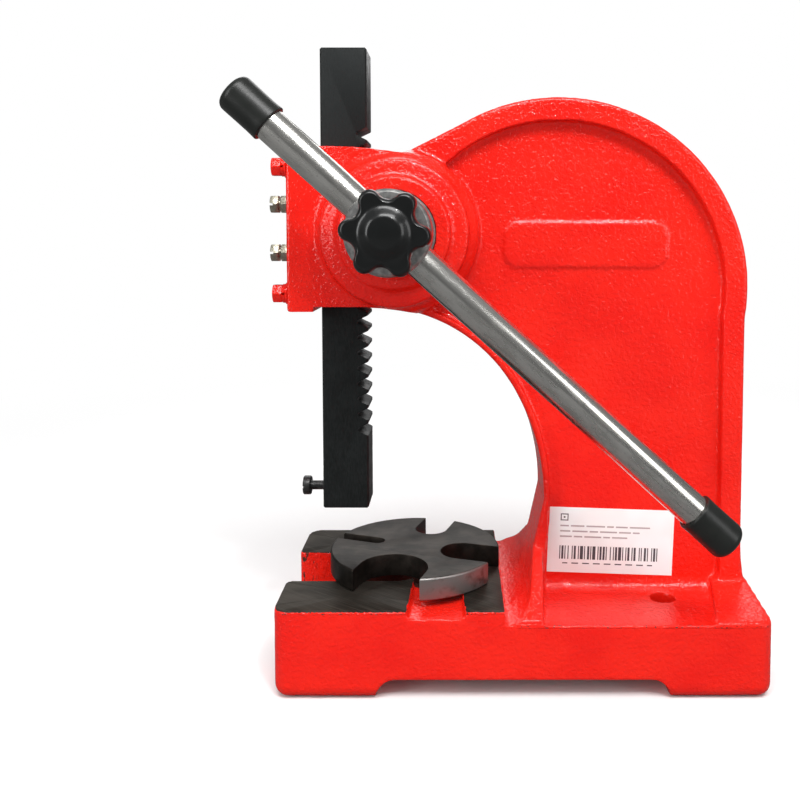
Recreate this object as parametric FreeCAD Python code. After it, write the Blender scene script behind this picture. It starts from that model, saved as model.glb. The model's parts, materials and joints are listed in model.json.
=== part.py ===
import FreeCAD, Part
import math
import os
from FreeCAD import Vector

# Bench arbor press. Millimetres, +Z up, origin midway between the two bench bolt holes, on the bench.
# The ram and the front of the table are at -X, the column at +X, the lever side at -Y.
# The parts are drawn from the centre of the base, and save() moves them to the origin.

# ---------------------------------------------------------------- driving dimensions
# base
BASE_HALF_X = 135.0
BASE_HALF_Y = 63.5
BASE_CORNER_R = 8.0
BASE_TOP_Z = 41.0
ARCH_TOP_Z = 10.8
FOOT_FRONT_INNER_X = -79.5
FOOT_REAR_INNER_X = 79.5
FOOT_END_R = 7.0
TABLE_Z = 48.7
TABLE_END_X = -9.7
TABLE_SLOT_HALF = 22.0
TABLE_SLOT_CENTRE_X = -75.0
SLOT_CORNER_R = 3.0
GROOVE_X = (-62.6, -31.6)
GROOVE_INNER_X = (-59.5, -34.5)
GROOVE_FLOOR_Z = 44.7
BENCH_BOLT_X = 83.0
BENCH_BOLT_HALF_Y = 27.0
BENCH_BOLT_R = 7.0
CORE_X = (-40.0, 68.0)
CORE_Y = (5.0, 51.0)
CORE_TOP_Z = 29.0

# column
RIM_HALF_Y = 21.0
RIM_EDGE_R = 2.2
WEB_HALF_Y = 14.0
BACK_X = 130.3
CROWN_CENTRE = (22.3, 218.7)
CROWN_R = 109.5
CROWN_INNER_R = 96.3
THROAT_UPPER_CENTRE = (-85.3, 112.8)
THROAT_UPPER_R = 95.8
THROAT_LOWER_CENTRE = (-109.6, 96.7)
THROAT_LOWER_R = 124.5
THROAT_RIM = 4.0
FRONT_FLARE_EDGE_Z = 43.4
FRONT_FLARE_TOP_Z = 68.0
REAR_FLARE_EDGE_Z = 42.5
REAR_FLARE_TOP_Z = 48.0

# ram head
HEAD_FRONT_X = -116.5
HEAD_BACK_X = -62.0
HEAD_HALF_Y = 30.0
HEAD_BOTTOM_Z = 209.0
HEAD_TOP_Z = 299.6

# ram and rack
RAM_SIZE = 26.8
RAM_BACK_X = -87.6
RAM_BOTTOM_Z = 88.7
RAM_TOP_Z = 357.1
RACK_PITCH = 9.08
RACK_ANGLE = math.radians(25.0)
RACK_DEPTH = 6.35
RACK_FIRST_GAP_Z = 135.54
RACK_GAPS = 20
TOOTH_BACKLASH = 0.1
CHANNEL_GAP = 0.1

# pinion
PINION_TEETH = 14
PINION_Z = 250.7
PINION_HALF_Y = 13.5
PINION_TIP_R = 22.9
PINION_ROOT_R = 16.3
NEAR_BORE_R = 23.05
NEAR_JOURNAL_R = 23.0
FAR_BORE_R = 12.5
FAR_JOURNAL_R = 12.45
NEAR_BOSS_Y = -50.0
FAR_BOSS_Y = 40.0
HUB_R = 22.0
HUB_FACE_Y = -88.5

# lever
LEVER_Y = -76.0
LEVER_R = 8.75
LEVER_HOLE_R = 8.95
LEVER_ANGLE = math.radians(42.4)
LEVER_SHORT = 108.0
LEVER_LONG = 239.0
CAP_R = 10.4
CAP_LENGTH = 26.0
CAP_WALL = 2.0

# knob
KNOB_LOBES = 6
KNOB_R = 22.5
KNOB_VALLEY_R = 16.4
KNOB_LOBE_R = 5.5
KNOB_PHASE = math.radians(-5.0)
KNOB_BACK_Y = -92.0
KNOB_FRONT_Y = -106.0
KNOB_DOME_Y = -110.0
STUD_R = 5.0

# arbor plate: slot direction in degrees from +X, slot width, radius of its inner end
PLATE_X = -61.0
PLATE_R = 50.8
PLATE_THICKNESS = 12.7
PLATE_SLOTS = ((252.0, 40.0, 16.0), (343.0, 25.0, 17.0), (73.0, 20.0, 21.0), (160.0, 9.0, 20.5))

# cover plate and its fasteners
COVER_FRONT_X = -131.7
COVER_BOTTOM_Z = 206.2
COVER_TOP_Z = 299.5
COVER_BOLT_HALF_Y = 21.8
COVER_BOLT_ZS = (288.2, 216.4)
M6_R = 3.0
M6_HOLE_R = 3.05
M6_ACROSS_FLATS = 10.0
ADJUSTER_UPPER_Z = 267.8
ADJUSTER_LOWER_Z = 239.1
GIB_BACK_X = -114.6
GIB_FRONT_X = -116.4
TOOL_SCREW_Z = 98.7
TOOL_BORE_R = 5.0
TOOL_BORE_DEPTH = 25.0

# ---------------------------------------------------------------- values worked out
MODULE = RACK_PITCH / math.pi
PITCH_R = MODULE * PINION_TEETH / 2.0
RACK_PITCH_X = RAM_BACK_X - MODULE
PINION_X = RACK_PITCH_X + PITCH_R
RAM_FRONT_X = RAM_BACK_X - RAM_SIZE
RAM_CENTRE_X = RAM_BACK_X - RAM_SIZE / 2.0
RAM_HALF = RAM_SIZE / 2.0
CHANNEL_HALF_Y = RAM_HALF + CHANNEL_GAP
UP = Vector(0, 0, 1)
FAR = Vector(0, 1, 0)
RIGHT = Vector(1, 0, 0)
LEVER_DIRECTION = Vector(math.cos(LEVER_ANGLE), 0, -math.sin(LEVER_ANGLE))
LEVER_CENTRE = Vector(PINION_X, LEVER_Y, PINION_Z)


# ---------------------------------------------------------------- shape helpers
def block(x, y, z):
    """Box from three (low, high) pairs."""
    corner = Vector(x[0], y[0], z[0])
    return Part.makeBox(x[1] - x[0], y[1] - y[0], z[1] - z[0], corner)


def cylinder_y(radius, y0, y1, x, z):
    """Cylinder along Y between two Y values."""
    return Part.makeCylinder(radius, y1 - y0, Vector(x, y0, z), FAR)


def cylinder_x(radius, x0, x1, y, z):
    """Cylinder along X between two X values."""
    return Part.makeCylinder(radius, x1 - x0, Vector(x0, y, z), RIGHT)


def hexagon_x(across_flats, x0, x1, y, z):
    """Hexagonal prism along X with two of its flats facing up and down."""
    radius = across_flats / math.sqrt(3.0)
    corners = []
    for i in range(7):
        angle = math.radians(60.0 * i)
        corners.append(Vector(x0, y + radius * math.cos(angle), z + radius * math.sin(angle)))
    face = Part.Face(Part.makePolygon(corners))
    return face.extrude(Vector(x1 - x0, 0, 0))


def side_point(point):
    """XZ pair to a point in the plane Y = 0."""
    return Vector(point[0], 0, point[1])


def on_circle(centre, radius, degrees):
    """XZ pair at an angle on a circle."""
    angle = math.radians(degrees)
    return (centre[0] + radius * math.cos(angle), centre[1] + radius * math.sin(angle))


def side_face(path):
    """Face in the plane Y = 0. Each item is an XZ point, or ("arc", middle, end)."""
    start = side_point(path[0])
    here = start
    edges = []
    for item in path[1:] + [path[0]]:
        if item[0] == "arc":
            end = side_point(item[2])
            edges.append(Part.Arc(here, side_point(item[1]), end).toShape())
        else:
            end = side_point(item)
            if end.isEqual(here, 1e-6):
                continue
            edges.append(Part.LineSegment(here, end).toShape())
        here = end
    return Part.Face(Part.Wire(edges))


def side_prism(path, y0, y1):
    """XZ outline extruded between two Y values."""
    face = side_face(path)
    face.translate(Vector(0, y0, 0))
    return face.extrude(Vector(0, y1 - y0, 0))


def plan_prism(points, z0, z1):
    """XY polygon extruded between two Z values."""
    corners = [Vector(p[0], p[1], z0) for p in points]
    face = Part.Face(Part.makePolygon(corners + [corners[0]]))
    return face.extrude(Vector(0, 0, z1 - z0))


def end_prism(points, x0, x1):
    """YZ polygon extruded between two X values."""
    corners = [Vector(x0, p[0], p[1]) for p in points]
    face = Part.Face(Part.makePolygon(corners + [corners[0]]))
    return face.extrude(Vector(x1 - x0, 0, 0))


def turned_y(profile, x, z):
    """Solid of revolution about an axis along Y, from (radius, Y) points or arcs."""
    start = Vector(x + profile[0][0], profile[0][1], z)
    here = start
    edges = []
    for item in profile[1:] + [profile[0]]:
        if item[0] == "arc":
            middle = Vector(x + item[1][0], item[1][1], z)
            end = Vector(x + item[2][0], item[2][1], z)
            edges.append(Part.Arc(here, middle, end).toShape())
        else:
            end = Vector(x + item[0], item[1], z)
            if end.isEqual(here, 1e-6):
                continue
            edges.append(Part.LineSegment(here, end).toShape())
        here = end
    face = Part.Face(Part.Wire(edges))
    return face.revolve(Vector(x, 0, z), FAR, 360)


def fuse_all(shapes):
    """One solid from several that touch or overlap."""
    result = shapes[0].multiFuse(shapes[1:])
    return result.removeSplitter()


def cut_all(shape, tools):
    """A solid less several others."""
    return shape.cut(tools).removeSplitter()


def edges_where(shape, test):
    """Edges whose both ends pass a test."""
    chosen = []
    for edge in shape.Edges:
        if all(test(vertex.Point) for vertex in edge.Vertexes):
            chosen.append(edge)
    return chosen


def mirrored_y(shape):
    """The same shape on the other side of the plane Y = 0."""
    return shape.mirror(Vector(0, 0, 0), FAR)


def save(name, shape):
    """Write one sub-part in its place from the origin, and print its volume."""
    if len(shape.Solids) == 1:
        shape = shape.Solids[0]
    shape.translate(Vector(-BENCH_BOLT_X, 0, 0))
    shape.exportStep("parts/" + name + ".step")
    print(name, "solids", len(shape.Solids), "volume", round(shape.Volume, 1), "valid", shape.isValid())


# ---------------------------------------------------------------- frame casting
def base_body():
    """Base with rounded corners, end feet, an arch between them and the raised table."""
    full = block((-BASE_HALF_X, BASE_HALF_X), (-BASE_HALF_Y, BASE_HALF_Y), (0, TABLE_Z))
    upright = [e for e in full.Edges if abs(e.tangentAt(e.FirstParameter).z) > 0.99]
    full = full.makeFillet(BASE_CORNER_R, upright)
    above_body = block((TABLE_END_X, BASE_HALF_X + 1), (-BASE_HALF_Y - 1, BASE_HALF_Y + 1),
                       (BASE_TOP_Z, TABLE_Z + 1))
    corner = ARCH_TOP_Z
    turn = corner * (1 - math.sqrt(0.5))
    arch = side_prism([
        (FOOT_FRONT_INNER_X, -1), (FOOT_FRONT_INNER_X, 0),
        ("arc", (FOOT_FRONT_INNER_X + turn, corner - turn), (FOOT_FRONT_INNER_X + corner, corner)),
        (FOOT_REAR_INNER_X - corner, corner),
        ("arc", (FOOT_REAR_INNER_X - turn, corner - turn), (FOOT_REAR_INNER_X, 0)),
        (FOOT_REAR_INNER_X, -1),
    ], -BASE_HALF_Y - 1, BASE_HALF_Y + 1)
    body = cut_all(full, [above_body, arch])
    ends = edges_where(body, lambda p: abs(p.z) < 0.01 and abs(abs(p.x) - BASE_HALF_X) < 0.01)
    return body.makeFillet(FOOT_END_R, ends)


def rounded_slot_corner(side):
    """Waste outside a small radius where the table slot meets the front end."""
    y = side * TABLE_SLOT_HALF
    corner = block((-BASE_HALF_X - 1, -BASE_HALF_X + SLOT_CORNER_R), sorted((y, y + side * SLOT_CORNER_R)),
                   (-1, TABLE_Z + 1))
    centre = Vector(-BASE_HALF_X + SLOT_CORNER_R, y + side * SLOT_CORNER_R, -1)
    return corner.cut(Part.makeCylinder(SLOT_CORNER_R, TABLE_Z + 2, centre))


def underside_cores():
    """Two cored hollows under the base, one each side of a middle rib."""
    near = block(CORE_X, (-CORE_Y[1], -CORE_Y[0]), (-1, CORE_TOP_Z))
    upright = [e for e in near.Edges if abs(e.tangentAt(e.FirstParameter).z) > 0.99]
    near = near.makeFillet(9.0, upright)
    return [near, mirrored_y(near)]


def table_cuts():
    """Slot open to the front, and the cross groove that the casting leaves unmachined."""
    slot = fuse_all([
        block((-BASE_HALF_X - 1, TABLE_SLOT_CENTRE_X), (-TABLE_SLOT_HALF, TABLE_SLOT_HALF), (-1, TABLE_Z + 1)),
        Part.makeCylinder(TABLE_SLOT_HALF, TABLE_Z + 2, Vector(TABLE_SLOT_CENTRE_X, 0, -1)),
    ])
    groove = plan_prism([
        (GROOVE_X[0], -BASE_HALF_Y - 1), (GROOVE_X[1], -BASE_HALF_Y - 1), (GROOVE_INNER_X[1], 0),
        (GROOVE_X[1], BASE_HALF_Y + 1), (GROOVE_X[0], BASE_HALF_Y + 1), (GROOVE_INNER_X[0], 0),
    ], GROOVE_FLOOR_Z, TABLE_Z + 1)
    holes = []
    for side in (-1, 1):
        start = Vector(BENCH_BOLT_X, side * BENCH_BOLT_HALF_Y, -1)
        holes.append(Part.makeCylinder(BENCH_BOLT_R, TABLE_Z + 2, start))
    return [slot, groove, rounded_slot_corner(-1), rounded_slot_corner(1)] + holes


# where the front face of the column turns into the table
FRONT_FOOT_TOP = (5.4, 53.5)
FRONT_FOOT_END = (-10.2, BASE_TOP_Z)
FRONT_FOOT_MIDDLE = (0.3, 44.9)
THROAT_START = (-85.3, 208.6)
THROAT_JOIN = (1.0, 154.1)
THROAT_END = (15.0, 96.0)
THROAT_INNER_JOIN = (4.6, 155.8)
THROAT_INNER_END = (18.4, 96.0)


def front_foot_outline(back_x):
    """Curved front of the column's foot, closed at a chosen X."""
    return [
        (back_x, BASE_TOP_Z - 5), (FRONT_FOOT_END[0], BASE_TOP_Z - 5), FRONT_FOOT_END,
        ("arc", FRONT_FOOT_MIDDLE, FRONT_FOOT_TOP), THROAT_END, (back_x, THROAT_END[1]),
    ]


def column_outline():
    """Side view of the C-shaped column."""
    crown_end = on_circle(CROWN_CENTRE, CROWN_R, -9)
    crown_middle = on_circle(CROWN_CENTRE, CROWN_R, 60)
    crown_start = on_circle(CROWN_CENTRE, CROWN_R, 120.6)
    return [
        THROAT_START,
        ("arc", on_circle(THROAT_UPPER_CENTRE, THROAT_UPPER_R, 60), THROAT_JOIN),
        ("arc", on_circle(THROAT_LOWER_CENTRE, THROAT_LOWER_R, 14), THROAT_END),
        FRONT_FOOT_TOP,
        ("arc", FRONT_FOOT_MIDDLE, FRONT_FOOT_END),
        (FRONT_FOOT_END[0], BASE_TOP_Z - 5),
        (BASE_HALF_X - 1, BASE_TOP_Z - 5),
        (BASE_HALF_X - 1, BASE_TOP_Z),
        ("arc", (BACK_X + 1.3, 54.0), (BACK_X, 74.0)),
        crown_end,
        ("arc", crown_middle, crown_start),
        (-68.0, 295.5),
        (THROAT_START[0], 297.5),
    ]


def column_slab():
    """Full-thickness column with its outer edges rounded."""
    slab = side_prism(column_outline(), -RIM_HALF_Y, RIM_HALF_Y)
    outer = edges_where(slab, lambda p: abs(abs(p.y) - RIM_HALF_Y) < 0.01 and p.z > BASE_TOP_Z)
    return slab.makeFillet(RIM_EDGE_R, outer)


def web_recess():
    """Recess beside the web on the near side, from the rim face down to the web."""
    inner_right = on_circle(CROWN_CENTRE, CROWN_INNER_R, -9)
    inner_top = on_circle(CROWN_CENTRE, CROWN_INNER_R, 60)
    inner_left = on_circle(CROWN_CENTRE, CROWN_INNER_R, 132)
    inner_upper_r = THROAT_UPPER_R + THROAT_RIM
    inner_lower_r = THROAT_LOWER_R + THROAT_RIM
    outline = [
        (PINION_X, PINION_Z), inner_left,
        ("arc", inner_top, inner_right),
        (117.6, 52.0), (113.8, BASE_TOP_Z), (15.0, BASE_TOP_Z), THROAT_INNER_END,
        ("arc", on_circle(THROAT_LOWER_CENTRE, inner_lower_r, 14), THROAT_INNER_JOIN),
        ("arc", on_circle(THROAT_UPPER_CENTRE, inner_upper_r, 55),
         on_circle(THROAT_UPPER_CENTRE, inner_upper_r, 76)),
    ]
    recess = side_prism(outline, -RIM_HALF_Y - 1, -WEB_HALF_Y)
    floor = edges_where(recess, lambda p: abs(p.y + WEB_HALF_Y) < 0.01)
    return recess.makeFillet(0.8, floor)


def base_pocket():
    """Plan of the low floor between the two flared ribs, on the near side."""
    return plan_prism([
        (15.0, -WEB_HALF_Y), (10.6, -BASE_HALF_Y), (10.0, -BASE_HALF_Y - 8), (102.0, -BASE_HALF_Y - 8),
        (103.3, -BASE_HALF_Y), (113.0, -RIM_HALF_Y), (113.8, -WEB_HALF_Y),
    ], BASE_TOP_Z, THROAT_END[1] + 5)


def flared_feet():
    """Front and rear ribs that widen the column to the full width of the base."""
    edge = BASE_HALF_Y - 0.4
    low = BASE_TOP_Z - 5
    front_roof = end_prism([
        (-edge, low), (-edge, FRONT_FLARE_EDGE_Z), (-RIM_HALF_Y, FRONT_FLARE_TOP_Z),
        (RIM_HALF_Y, FRONT_FLARE_TOP_Z), (edge, FRONT_FLARE_EDGE_Z), (edge, low),
    ], -20, 30)
    front = side_prism(front_foot_outline(25.0), -BASE_HALF_Y, BASE_HALF_Y).common(front_roof)
    rear = end_prism([
        (-edge, low), (-edge, REAR_FLARE_EDGE_Z), (-RIM_HALF_Y, REAR_FLARE_TOP_Z),
        (RIM_HALF_Y, REAR_FLARE_TOP_Z), (edge, REAR_FLARE_EDGE_Z), (edge, low),
    ], 95.0, BASE_HALF_X - 1)
    plan = block((-BASE_HALF_X, BASE_HALF_X - 0.5), (-edge, edge), (0, 120))
    upright = [e for e in plan.Edges if abs(e.tangentAt(e.FirstParameter).z) > 0.99]
    plan = plan.makeFillet(BASE_CORNER_R, upright)
    pockets = [base_pocket(), mirrored_y(base_pocket())]
    return [front.cut(pockets), rear.common(plan).cut(pockets)]


def web_foot_fillets():
    """Soft corner between the web and the pocket floor, on both sides."""
    radius = 7.0
    turn = radius * (1 - math.sqrt(0.5))
    fillets = []
    for side in (-1, 1):
        face = side * WEB_HALF_Y
        start = Vector(14.0, face, BASE_TOP_Z + radius)
        middle = Vector(14.0, face + side * turn, BASE_TOP_Z + turn)
        end = Vector(14.0, face + side * radius, BASE_TOP_Z)
        inside = Vector(14.0, face - side * 1.0, BASE_TOP_Z - 1.0)
        corner_high = Vector(14.0, face - side * 1.0, BASE_TOP_Z + radius)
        corner_low = Vector(14.0, face + side * radius, BASE_TOP_Z - 1.0)
        edges = [
            Part.LineSegment(corner_high, start).toShape(),
            Part.Arc(start, middle, end).toShape(),
            Part.LineSegment(end, corner_low).toShape(),
            Part.LineSegment(corner_low, inside).toShape(),
            Part.LineSegment(inside, corner_high).toShape(),
        ]
        face_shape = Part.Face(Part.Wire(edges))
        fillets.append(face_shape.extrude(Vector(101.0, 0, 0)))
    return fillets


HEAD_OUTLINE = [
    (HEAD_FRONT_X, HEAD_BOTTOM_Z), (HEAD_BACK_X, HEAD_BOTTOM_Z),
    (HEAD_BACK_X, 295.6), (-89.4, 298.9), (-109.0, HEAD_TOP_Z), (HEAD_FRONT_X, HEAD_TOP_Z),
]


def ram_head():
    """Block that carries the ram channel."""
    head = side_prism(HEAD_OUTLINE, -HEAD_HALF_Y, HEAD_HALF_Y)
    back = edges_where(head, lambda p: abs(p.x - HEAD_BACK_X) < 0.01)
    upright = [e for e in back if abs(e.tangentAt(e.FirstParameter).z) > 0.99]
    return head.makeFillet(5.0, upright)


def pinion_bosses():
    """Stepped boss on the near side and a plain one on the far side."""
    near = turned_y([
        (0, -10), (0, NEAR_BOSS_Y), (29.7, NEAR_BOSS_Y),
        ("arc", (30.76, -49.56), (31.2, -48.5)), (31.2, -45.5),
        ("arc", (31.8, -43.9), (33.4, -43.2)), (39.0, -42.4),
        ("arc", (40.6, -41.8), (41.3, -40.2)), (41.3, -37.6),
        ("arc", (42.4, -33.4), (45.2, -30.2)),
        ("arc", (47.0, -25.0), (47.6, -14.0)), (47.6, -10),
    ], PINION_X, PINION_Z)
    far = turned_y([
        (0, 10), (0, FAR_BOSS_Y), (21.0, FAR_BOSS_Y),
        ("arc", (22.4, FAR_BOSS_Y - 0.6), (23.0, FAR_BOSS_Y - 2.0)), (23.0, 35.0),
        ("arc", (25.3, 31.6), (29.0, 29.5)), (38.0, 27.0),
        ("arc", (42.4, 21.4), (44.0, 14.0)), (44.0, 10),
    ], PINION_X, PINION_Z)
    reach = HEAD_HALF_Y * 2
    limit = fuse_all([side_prism(column_outline(), -reach, reach), side_prism(HEAD_OUTLINE, -reach, reach)])
    return [near.common(limit), far.common(limit)]


def cast_pad():
    """Blank raised pad on the near side of the web."""
    pad = block((-8.0, 86.0), (-WEB_HALF_Y - 1.3, -WEB_HALF_Y + 1), (231.0, 257.0))
    along = [e for e in pad.Edges if abs(e.tangentAt(e.FirstParameter).y) > 0.99]
    return pad.makeFillet(8.0, along)


def frame_casting():
    """Base, column, ram head and bosses in one casting, with its machined openings."""
    slab = column_slab()
    slab = cut_all(slab, [web_recess(), mirrored_y(web_recess())])
    solid = fuse_all([base_body(), slab] + flared_feet() + web_foot_fillets()
                     + [ram_head()] + pinion_bosses() + [cast_pad()])
    channel = block((HEAD_FRONT_X - 1, RAM_BACK_X + CHANNEL_GAP), (-CHANNEL_HALF_Y, CHANNEL_HALF_Y),
                    (HEAD_BOTTOM_Z - 5, HEAD_TOP_Z + 5))
    near_bore = cylinder_y(NEAR_BORE_R, NEAR_BOSS_Y - 1, PINION_HALF_Y + 0.2, PINION_X, PINION_Z)
    far_bore = cylinder_y(FAR_BORE_R, 0, FAR_BOSS_Y + 1, PINION_X, PINION_Z)
    bolt_holes = []
    for z in COVER_BOLT_ZS:
        for side in (-1, 1):
            y = side * COVER_BOLT_HALF_Y
            bolt_holes.append(cylinder_x(M6_HOLE_R, HEAD_FRONT_X - 1, HEAD_FRONT_X + 20, y, z))
    return cut_all(solid, table_cuts() + underside_cores() + [channel, near_bore, far_bore] + bolt_holes)


# ---------------------------------------------------------------- cover and gib
def cover_plate():
    """Cast cover that closes the ram channel."""
    plate = block((COVER_FRONT_X, HEAD_FRONT_X), (-HEAD_HALF_Y, HEAD_HALF_Y), (COVER_BOTTOM_Z, COVER_TOP_Z))
    front = edges_where(plate, lambda p: abs(p.x - COVER_FRONT_X) < 0.01)
    plate = plate.makeFillet(2.0, front)
    holes = []
    for z in COVER_BOLT_ZS:
        for side in (-1, 1):
            y = side * COVER_BOLT_HALF_Y
            holes.append(cylinder_x(M6_HOLE_R + 0.25, COVER_FRONT_X - 1, HEAD_FRONT_X + 1, y, z))
    for z in (ADJUSTER_UPPER_Z, ADJUSTER_LOWER_Z):
        holes.append(cylinder_x(M6_HOLE_R, COVER_FRONT_X - 1, HEAD_FRONT_X + 1, 0, z))
    return cut_all(plate, holes)


def gib_strip():
    """Wear strip between the cover and the ram, with a shallow seat for each adjuster."""
    half = CHANNEL_HALF_Y - 0.2
    return block((GIB_FRONT_X, GIB_BACK_X), (-half, half), (HEAD_BOTTOM_Z + 0.5, HEAD_TOP_Z - 1.0))


WASHER_THICKNESS = 1.4
LOCK_WASHER_THICKNESS = 1.8
BOLT_HEAD_HEIGHT = 5.6
WASHER_FRONT_X = COVER_FRONT_X - WASHER_THICKNESS
LOCK_WASHER_FRONT_X = WASHER_FRONT_X - LOCK_WASHER_THICKNESS


def chamfered_hexagon_x(across_flats, x0, x1, y, z):
    """Bolt head or nut along X with its outer corners turned off at the x0 end."""
    prism = hexagon_x(across_flats, x0, x1, y, z)
    corner_r = across_flats / math.sqrt(3.0)
    length = x1 - x0
    cone = Part.makeCone(corner_r - 0.9, corner_r - 0.9 + 1.9 * length, length, Vector(x0, y, z), RIGHT)
    return prism.common(cone)


def cover_bolts():
    """Four hexagon-head bolts as separate solids."""
    bolts = []
    for z in COVER_BOLT_ZS:
        for side in (-1, 1):
            y = side * COVER_BOLT_HALF_Y
            outer = LOCK_WASHER_FRONT_X - BOLT_HEAD_HEIGHT
            head = chamfered_hexagon_x(M6_ACROSS_FLATS, outer, LOCK_WASHER_FRONT_X, y, z)
            shank = cylinder_x(M6_R, LOCK_WASHER_FRONT_X - 0.5, HEAD_FRONT_X + 16, y, z)
            bolts.append(fuse_all([head, shank]))
    return Part.makeCompound(bolts)


def cover_bolt_rings(outer_x, inner_x, outer_r, split):
    """Four washers, whole or split, as separate solids."""
    rings = []
    for z in COVER_BOLT_ZS:
        for side in (-1, 1):
            y = side * COVER_BOLT_HALF_Y
            ring = cylinder_x(outer_r, outer_x, inner_x, y, z)
            ring = ring.cut(cylinder_x(M6_HOLE_R, outer_x - 1, inner_x + 1, y, z))
            if split:
                outward = sorted((y, y + side * outer_r * 1.2))
                ring = ring.cut(block((outer_x - 1, inner_x + 1), outward, (z - 0.5, z + 0.5)))
            rings.append(ring.Solids[0])
    return Part.makeCompound(rings)


LOCK_NUT_X = (-139.7, COVER_FRONT_X)
ADJUSTER_HEAD_X = (-145.9, -141.0)


def adjusting_screw(z):
    """Slotted hexagon-head screw that bears on the gib strip."""
    head = chamfered_hexagon_x(M6_ACROSS_FLATS - 0.2, ADJUSTER_HEAD_X[0], ADJUSTER_HEAD_X[1], 0, z)
    slot = block((ADJUSTER_HEAD_X[0] - 1, ADJUSTER_HEAD_X[0] + 2.0), (-8, 8), (z - 0.7, z + 0.7))
    shank = cylinder_x(M6_R, ADJUSTER_HEAD_X[1] - 0.5, GIB_FRONT_X, 0, z)
    return fuse_all([head.cut(slot), shank])


def lock_nut(z):
    """Hexagon nut against the cover plate."""
    nut = chamfered_hexagon_x(M6_ACROSS_FLATS, LOCK_NUT_X[0], LOCK_NUT_X[1], 0, z)
    return nut.cut(cylinder_x(M6_HOLE_R, LOCK_NUT_X[0] - 1, LOCK_NUT_X[1] + 1, 0, z))


# ---------------------------------------------------------------- ram
def rack_gap(z):
    """One tooth gap across the back face of the ram."""
    half_at_pitch = RACK_PITCH / 4.0 + TOOTH_BACKLASH / 2.0
    slope = math.tan(RACK_ANGLE)
    root_x = RAM_BACK_X - RACK_DEPTH
    half_at_root = half_at_pitch - (RACK_PITCH_X - root_x) * slope
    mouth_x = RAM_BACK_X + 1.0
    half_at_mouth = half_at_pitch + (mouth_x - RACK_PITCH_X) * slope
    knee_x = root_x + 0.7
    half_at_knee = half_at_pitch - (RACK_PITCH_X - knee_x) * slope
    return side_prism([
        (mouth_x, z - half_at_mouth), (knee_x, z - half_at_knee),
        ("arc", (root_x + 0.1, z - half_at_root * 0.55), (root_x, z)),
        ("arc", (root_x + 0.1, z + half_at_root * 0.55), (knee_x, z + half_at_knee)),
        (mouth_x, z + half_at_mouth),
    ], -RAM_HALF - 1, RAM_HALF + 1)


def ram():
    """Square bar with rack teeth, a tool bore in the nose and a tapped hole for its screw."""
    bar = block((RAM_FRONT_X, RAM_BACK_X), (-RAM_HALF, RAM_HALF), (RAM_BOTTOM_Z, RAM_TOP_Z))
    bar = bar.makeChamfer(0.9, bar.Edges)
    cuts = [rack_gap(RACK_FIRST_GAP_Z + i * RACK_PITCH) for i in range(RACK_GAPS)]
    cuts.append(Part.makeCylinder(TOOL_BORE_R, TOOL_BORE_DEPTH + 1, Vector(RAM_CENTRE_X, 0, RAM_BOTTOM_Z - 1)))
    cuts.append(cylinder_x(M6_HOLE_R, RAM_FRONT_X - 1, RAM_CENTRE_X - TOOL_BORE_R + 1, 0, TOOL_SCREW_Z))
    return cut_all(bar, cuts)


def tool_clamp_screw():
    """Knurled-head screw that holds a tool in the ram's nose."""
    head = cylinder_x(5.6, RAM_FRONT_X - 13.7, RAM_FRONT_X - 9.1, 0, TOOL_SCREW_Z)
    head = head.makeChamfer(0.5, [e for e in head.Edges if e.Length > 20])
    slot = block((RAM_FRONT_X - 15, RAM_FRONT_X - 12.3), (-7, 7), (TOOL_SCREW_Z - 0.6, TOOL_SCREW_Z + 0.6))
    neck = cylinder_x(2.7, RAM_FRONT_X - 10, RAM_FRONT_X + 0.5, 0, TOOL_SCREW_Z)
    thread = cylinder_x(M6_R, RAM_FRONT_X + 0.3, RAM_CENTRE_X - TOOL_BORE_R - 0.4, 0, TOOL_SCREW_Z)
    return fuse_all([head.cut(slot), neck, thread])


# ---------------------------------------------------------------- pinion shaft
def involute_half_angle(radius):
    """Half the angle that a pinion tooth spans at a radius."""
    base_r = PITCH_R * math.cos(RACK_ANGLE)
    pressure = math.acos(min(1.0, base_r / radius))
    at_pitch = math.pi / (2 * PINION_TEETH) - TOOTH_BACKLASH / (2 * PITCH_R)
    rise = math.tan(RACK_ANGLE) - RACK_ANGLE - math.tan(pressure) + pressure
    return at_pitch + rise


def pinion_outline(first_tooth):
    """Closed wire of the toothed section in the plane Y = 0."""
    base_r = PITCH_R * math.cos(RACK_ANGLE) + 0.001
    steps = 5
    radii = [base_r + (PINION_TIP_R - base_r) * i / steps for i in range(steps + 1)]

    def at(radius, angle):
        return Vector(PINION_X + radius * math.cos(angle), 0, PINION_Z + radius * math.sin(angle))

    edges = []
    root_half = involute_half_angle(base_r)
    for tooth in range(PINION_TEETH):
        middle = first_tooth + 2 * math.pi * tooth / PINION_TEETH
        following = middle + 2 * math.pi / PINION_TEETH
        rising = [at(r, middle - involute_half_angle(r)) for r in radii]
        falling = [at(r, middle + involute_half_angle(r)) for r in reversed(radii)]
        root_in = at(PINION_ROOT_R, middle - root_half)
        root_out = at(PINION_ROOT_R, middle + root_half)
        root_next = at(PINION_ROOT_R, following - root_half)
        for flank in (rising, falling):
            curve = Part.BSplineCurve()
            curve.interpolate(flank)
            edges.append(curve.toShape())
        tip_middle = at(PINION_TIP_R, middle)
        edges.append(Part.Arc(rising[-1], tip_middle, falling[0]).toShape())
        edges.append(Part.LineSegment(root_in, rising[0]).toShape())
        edges.append(Part.LineSegment(falling[-1], root_out).toShape())
        gap_middle = at(PINION_ROOT_R - 0.25, (middle + following) / 2)
        edges.append(Part.Arc(root_out, gap_middle, root_next).toShape())
    return Part.Wire(Part.__sortEdges__(edges))


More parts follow.
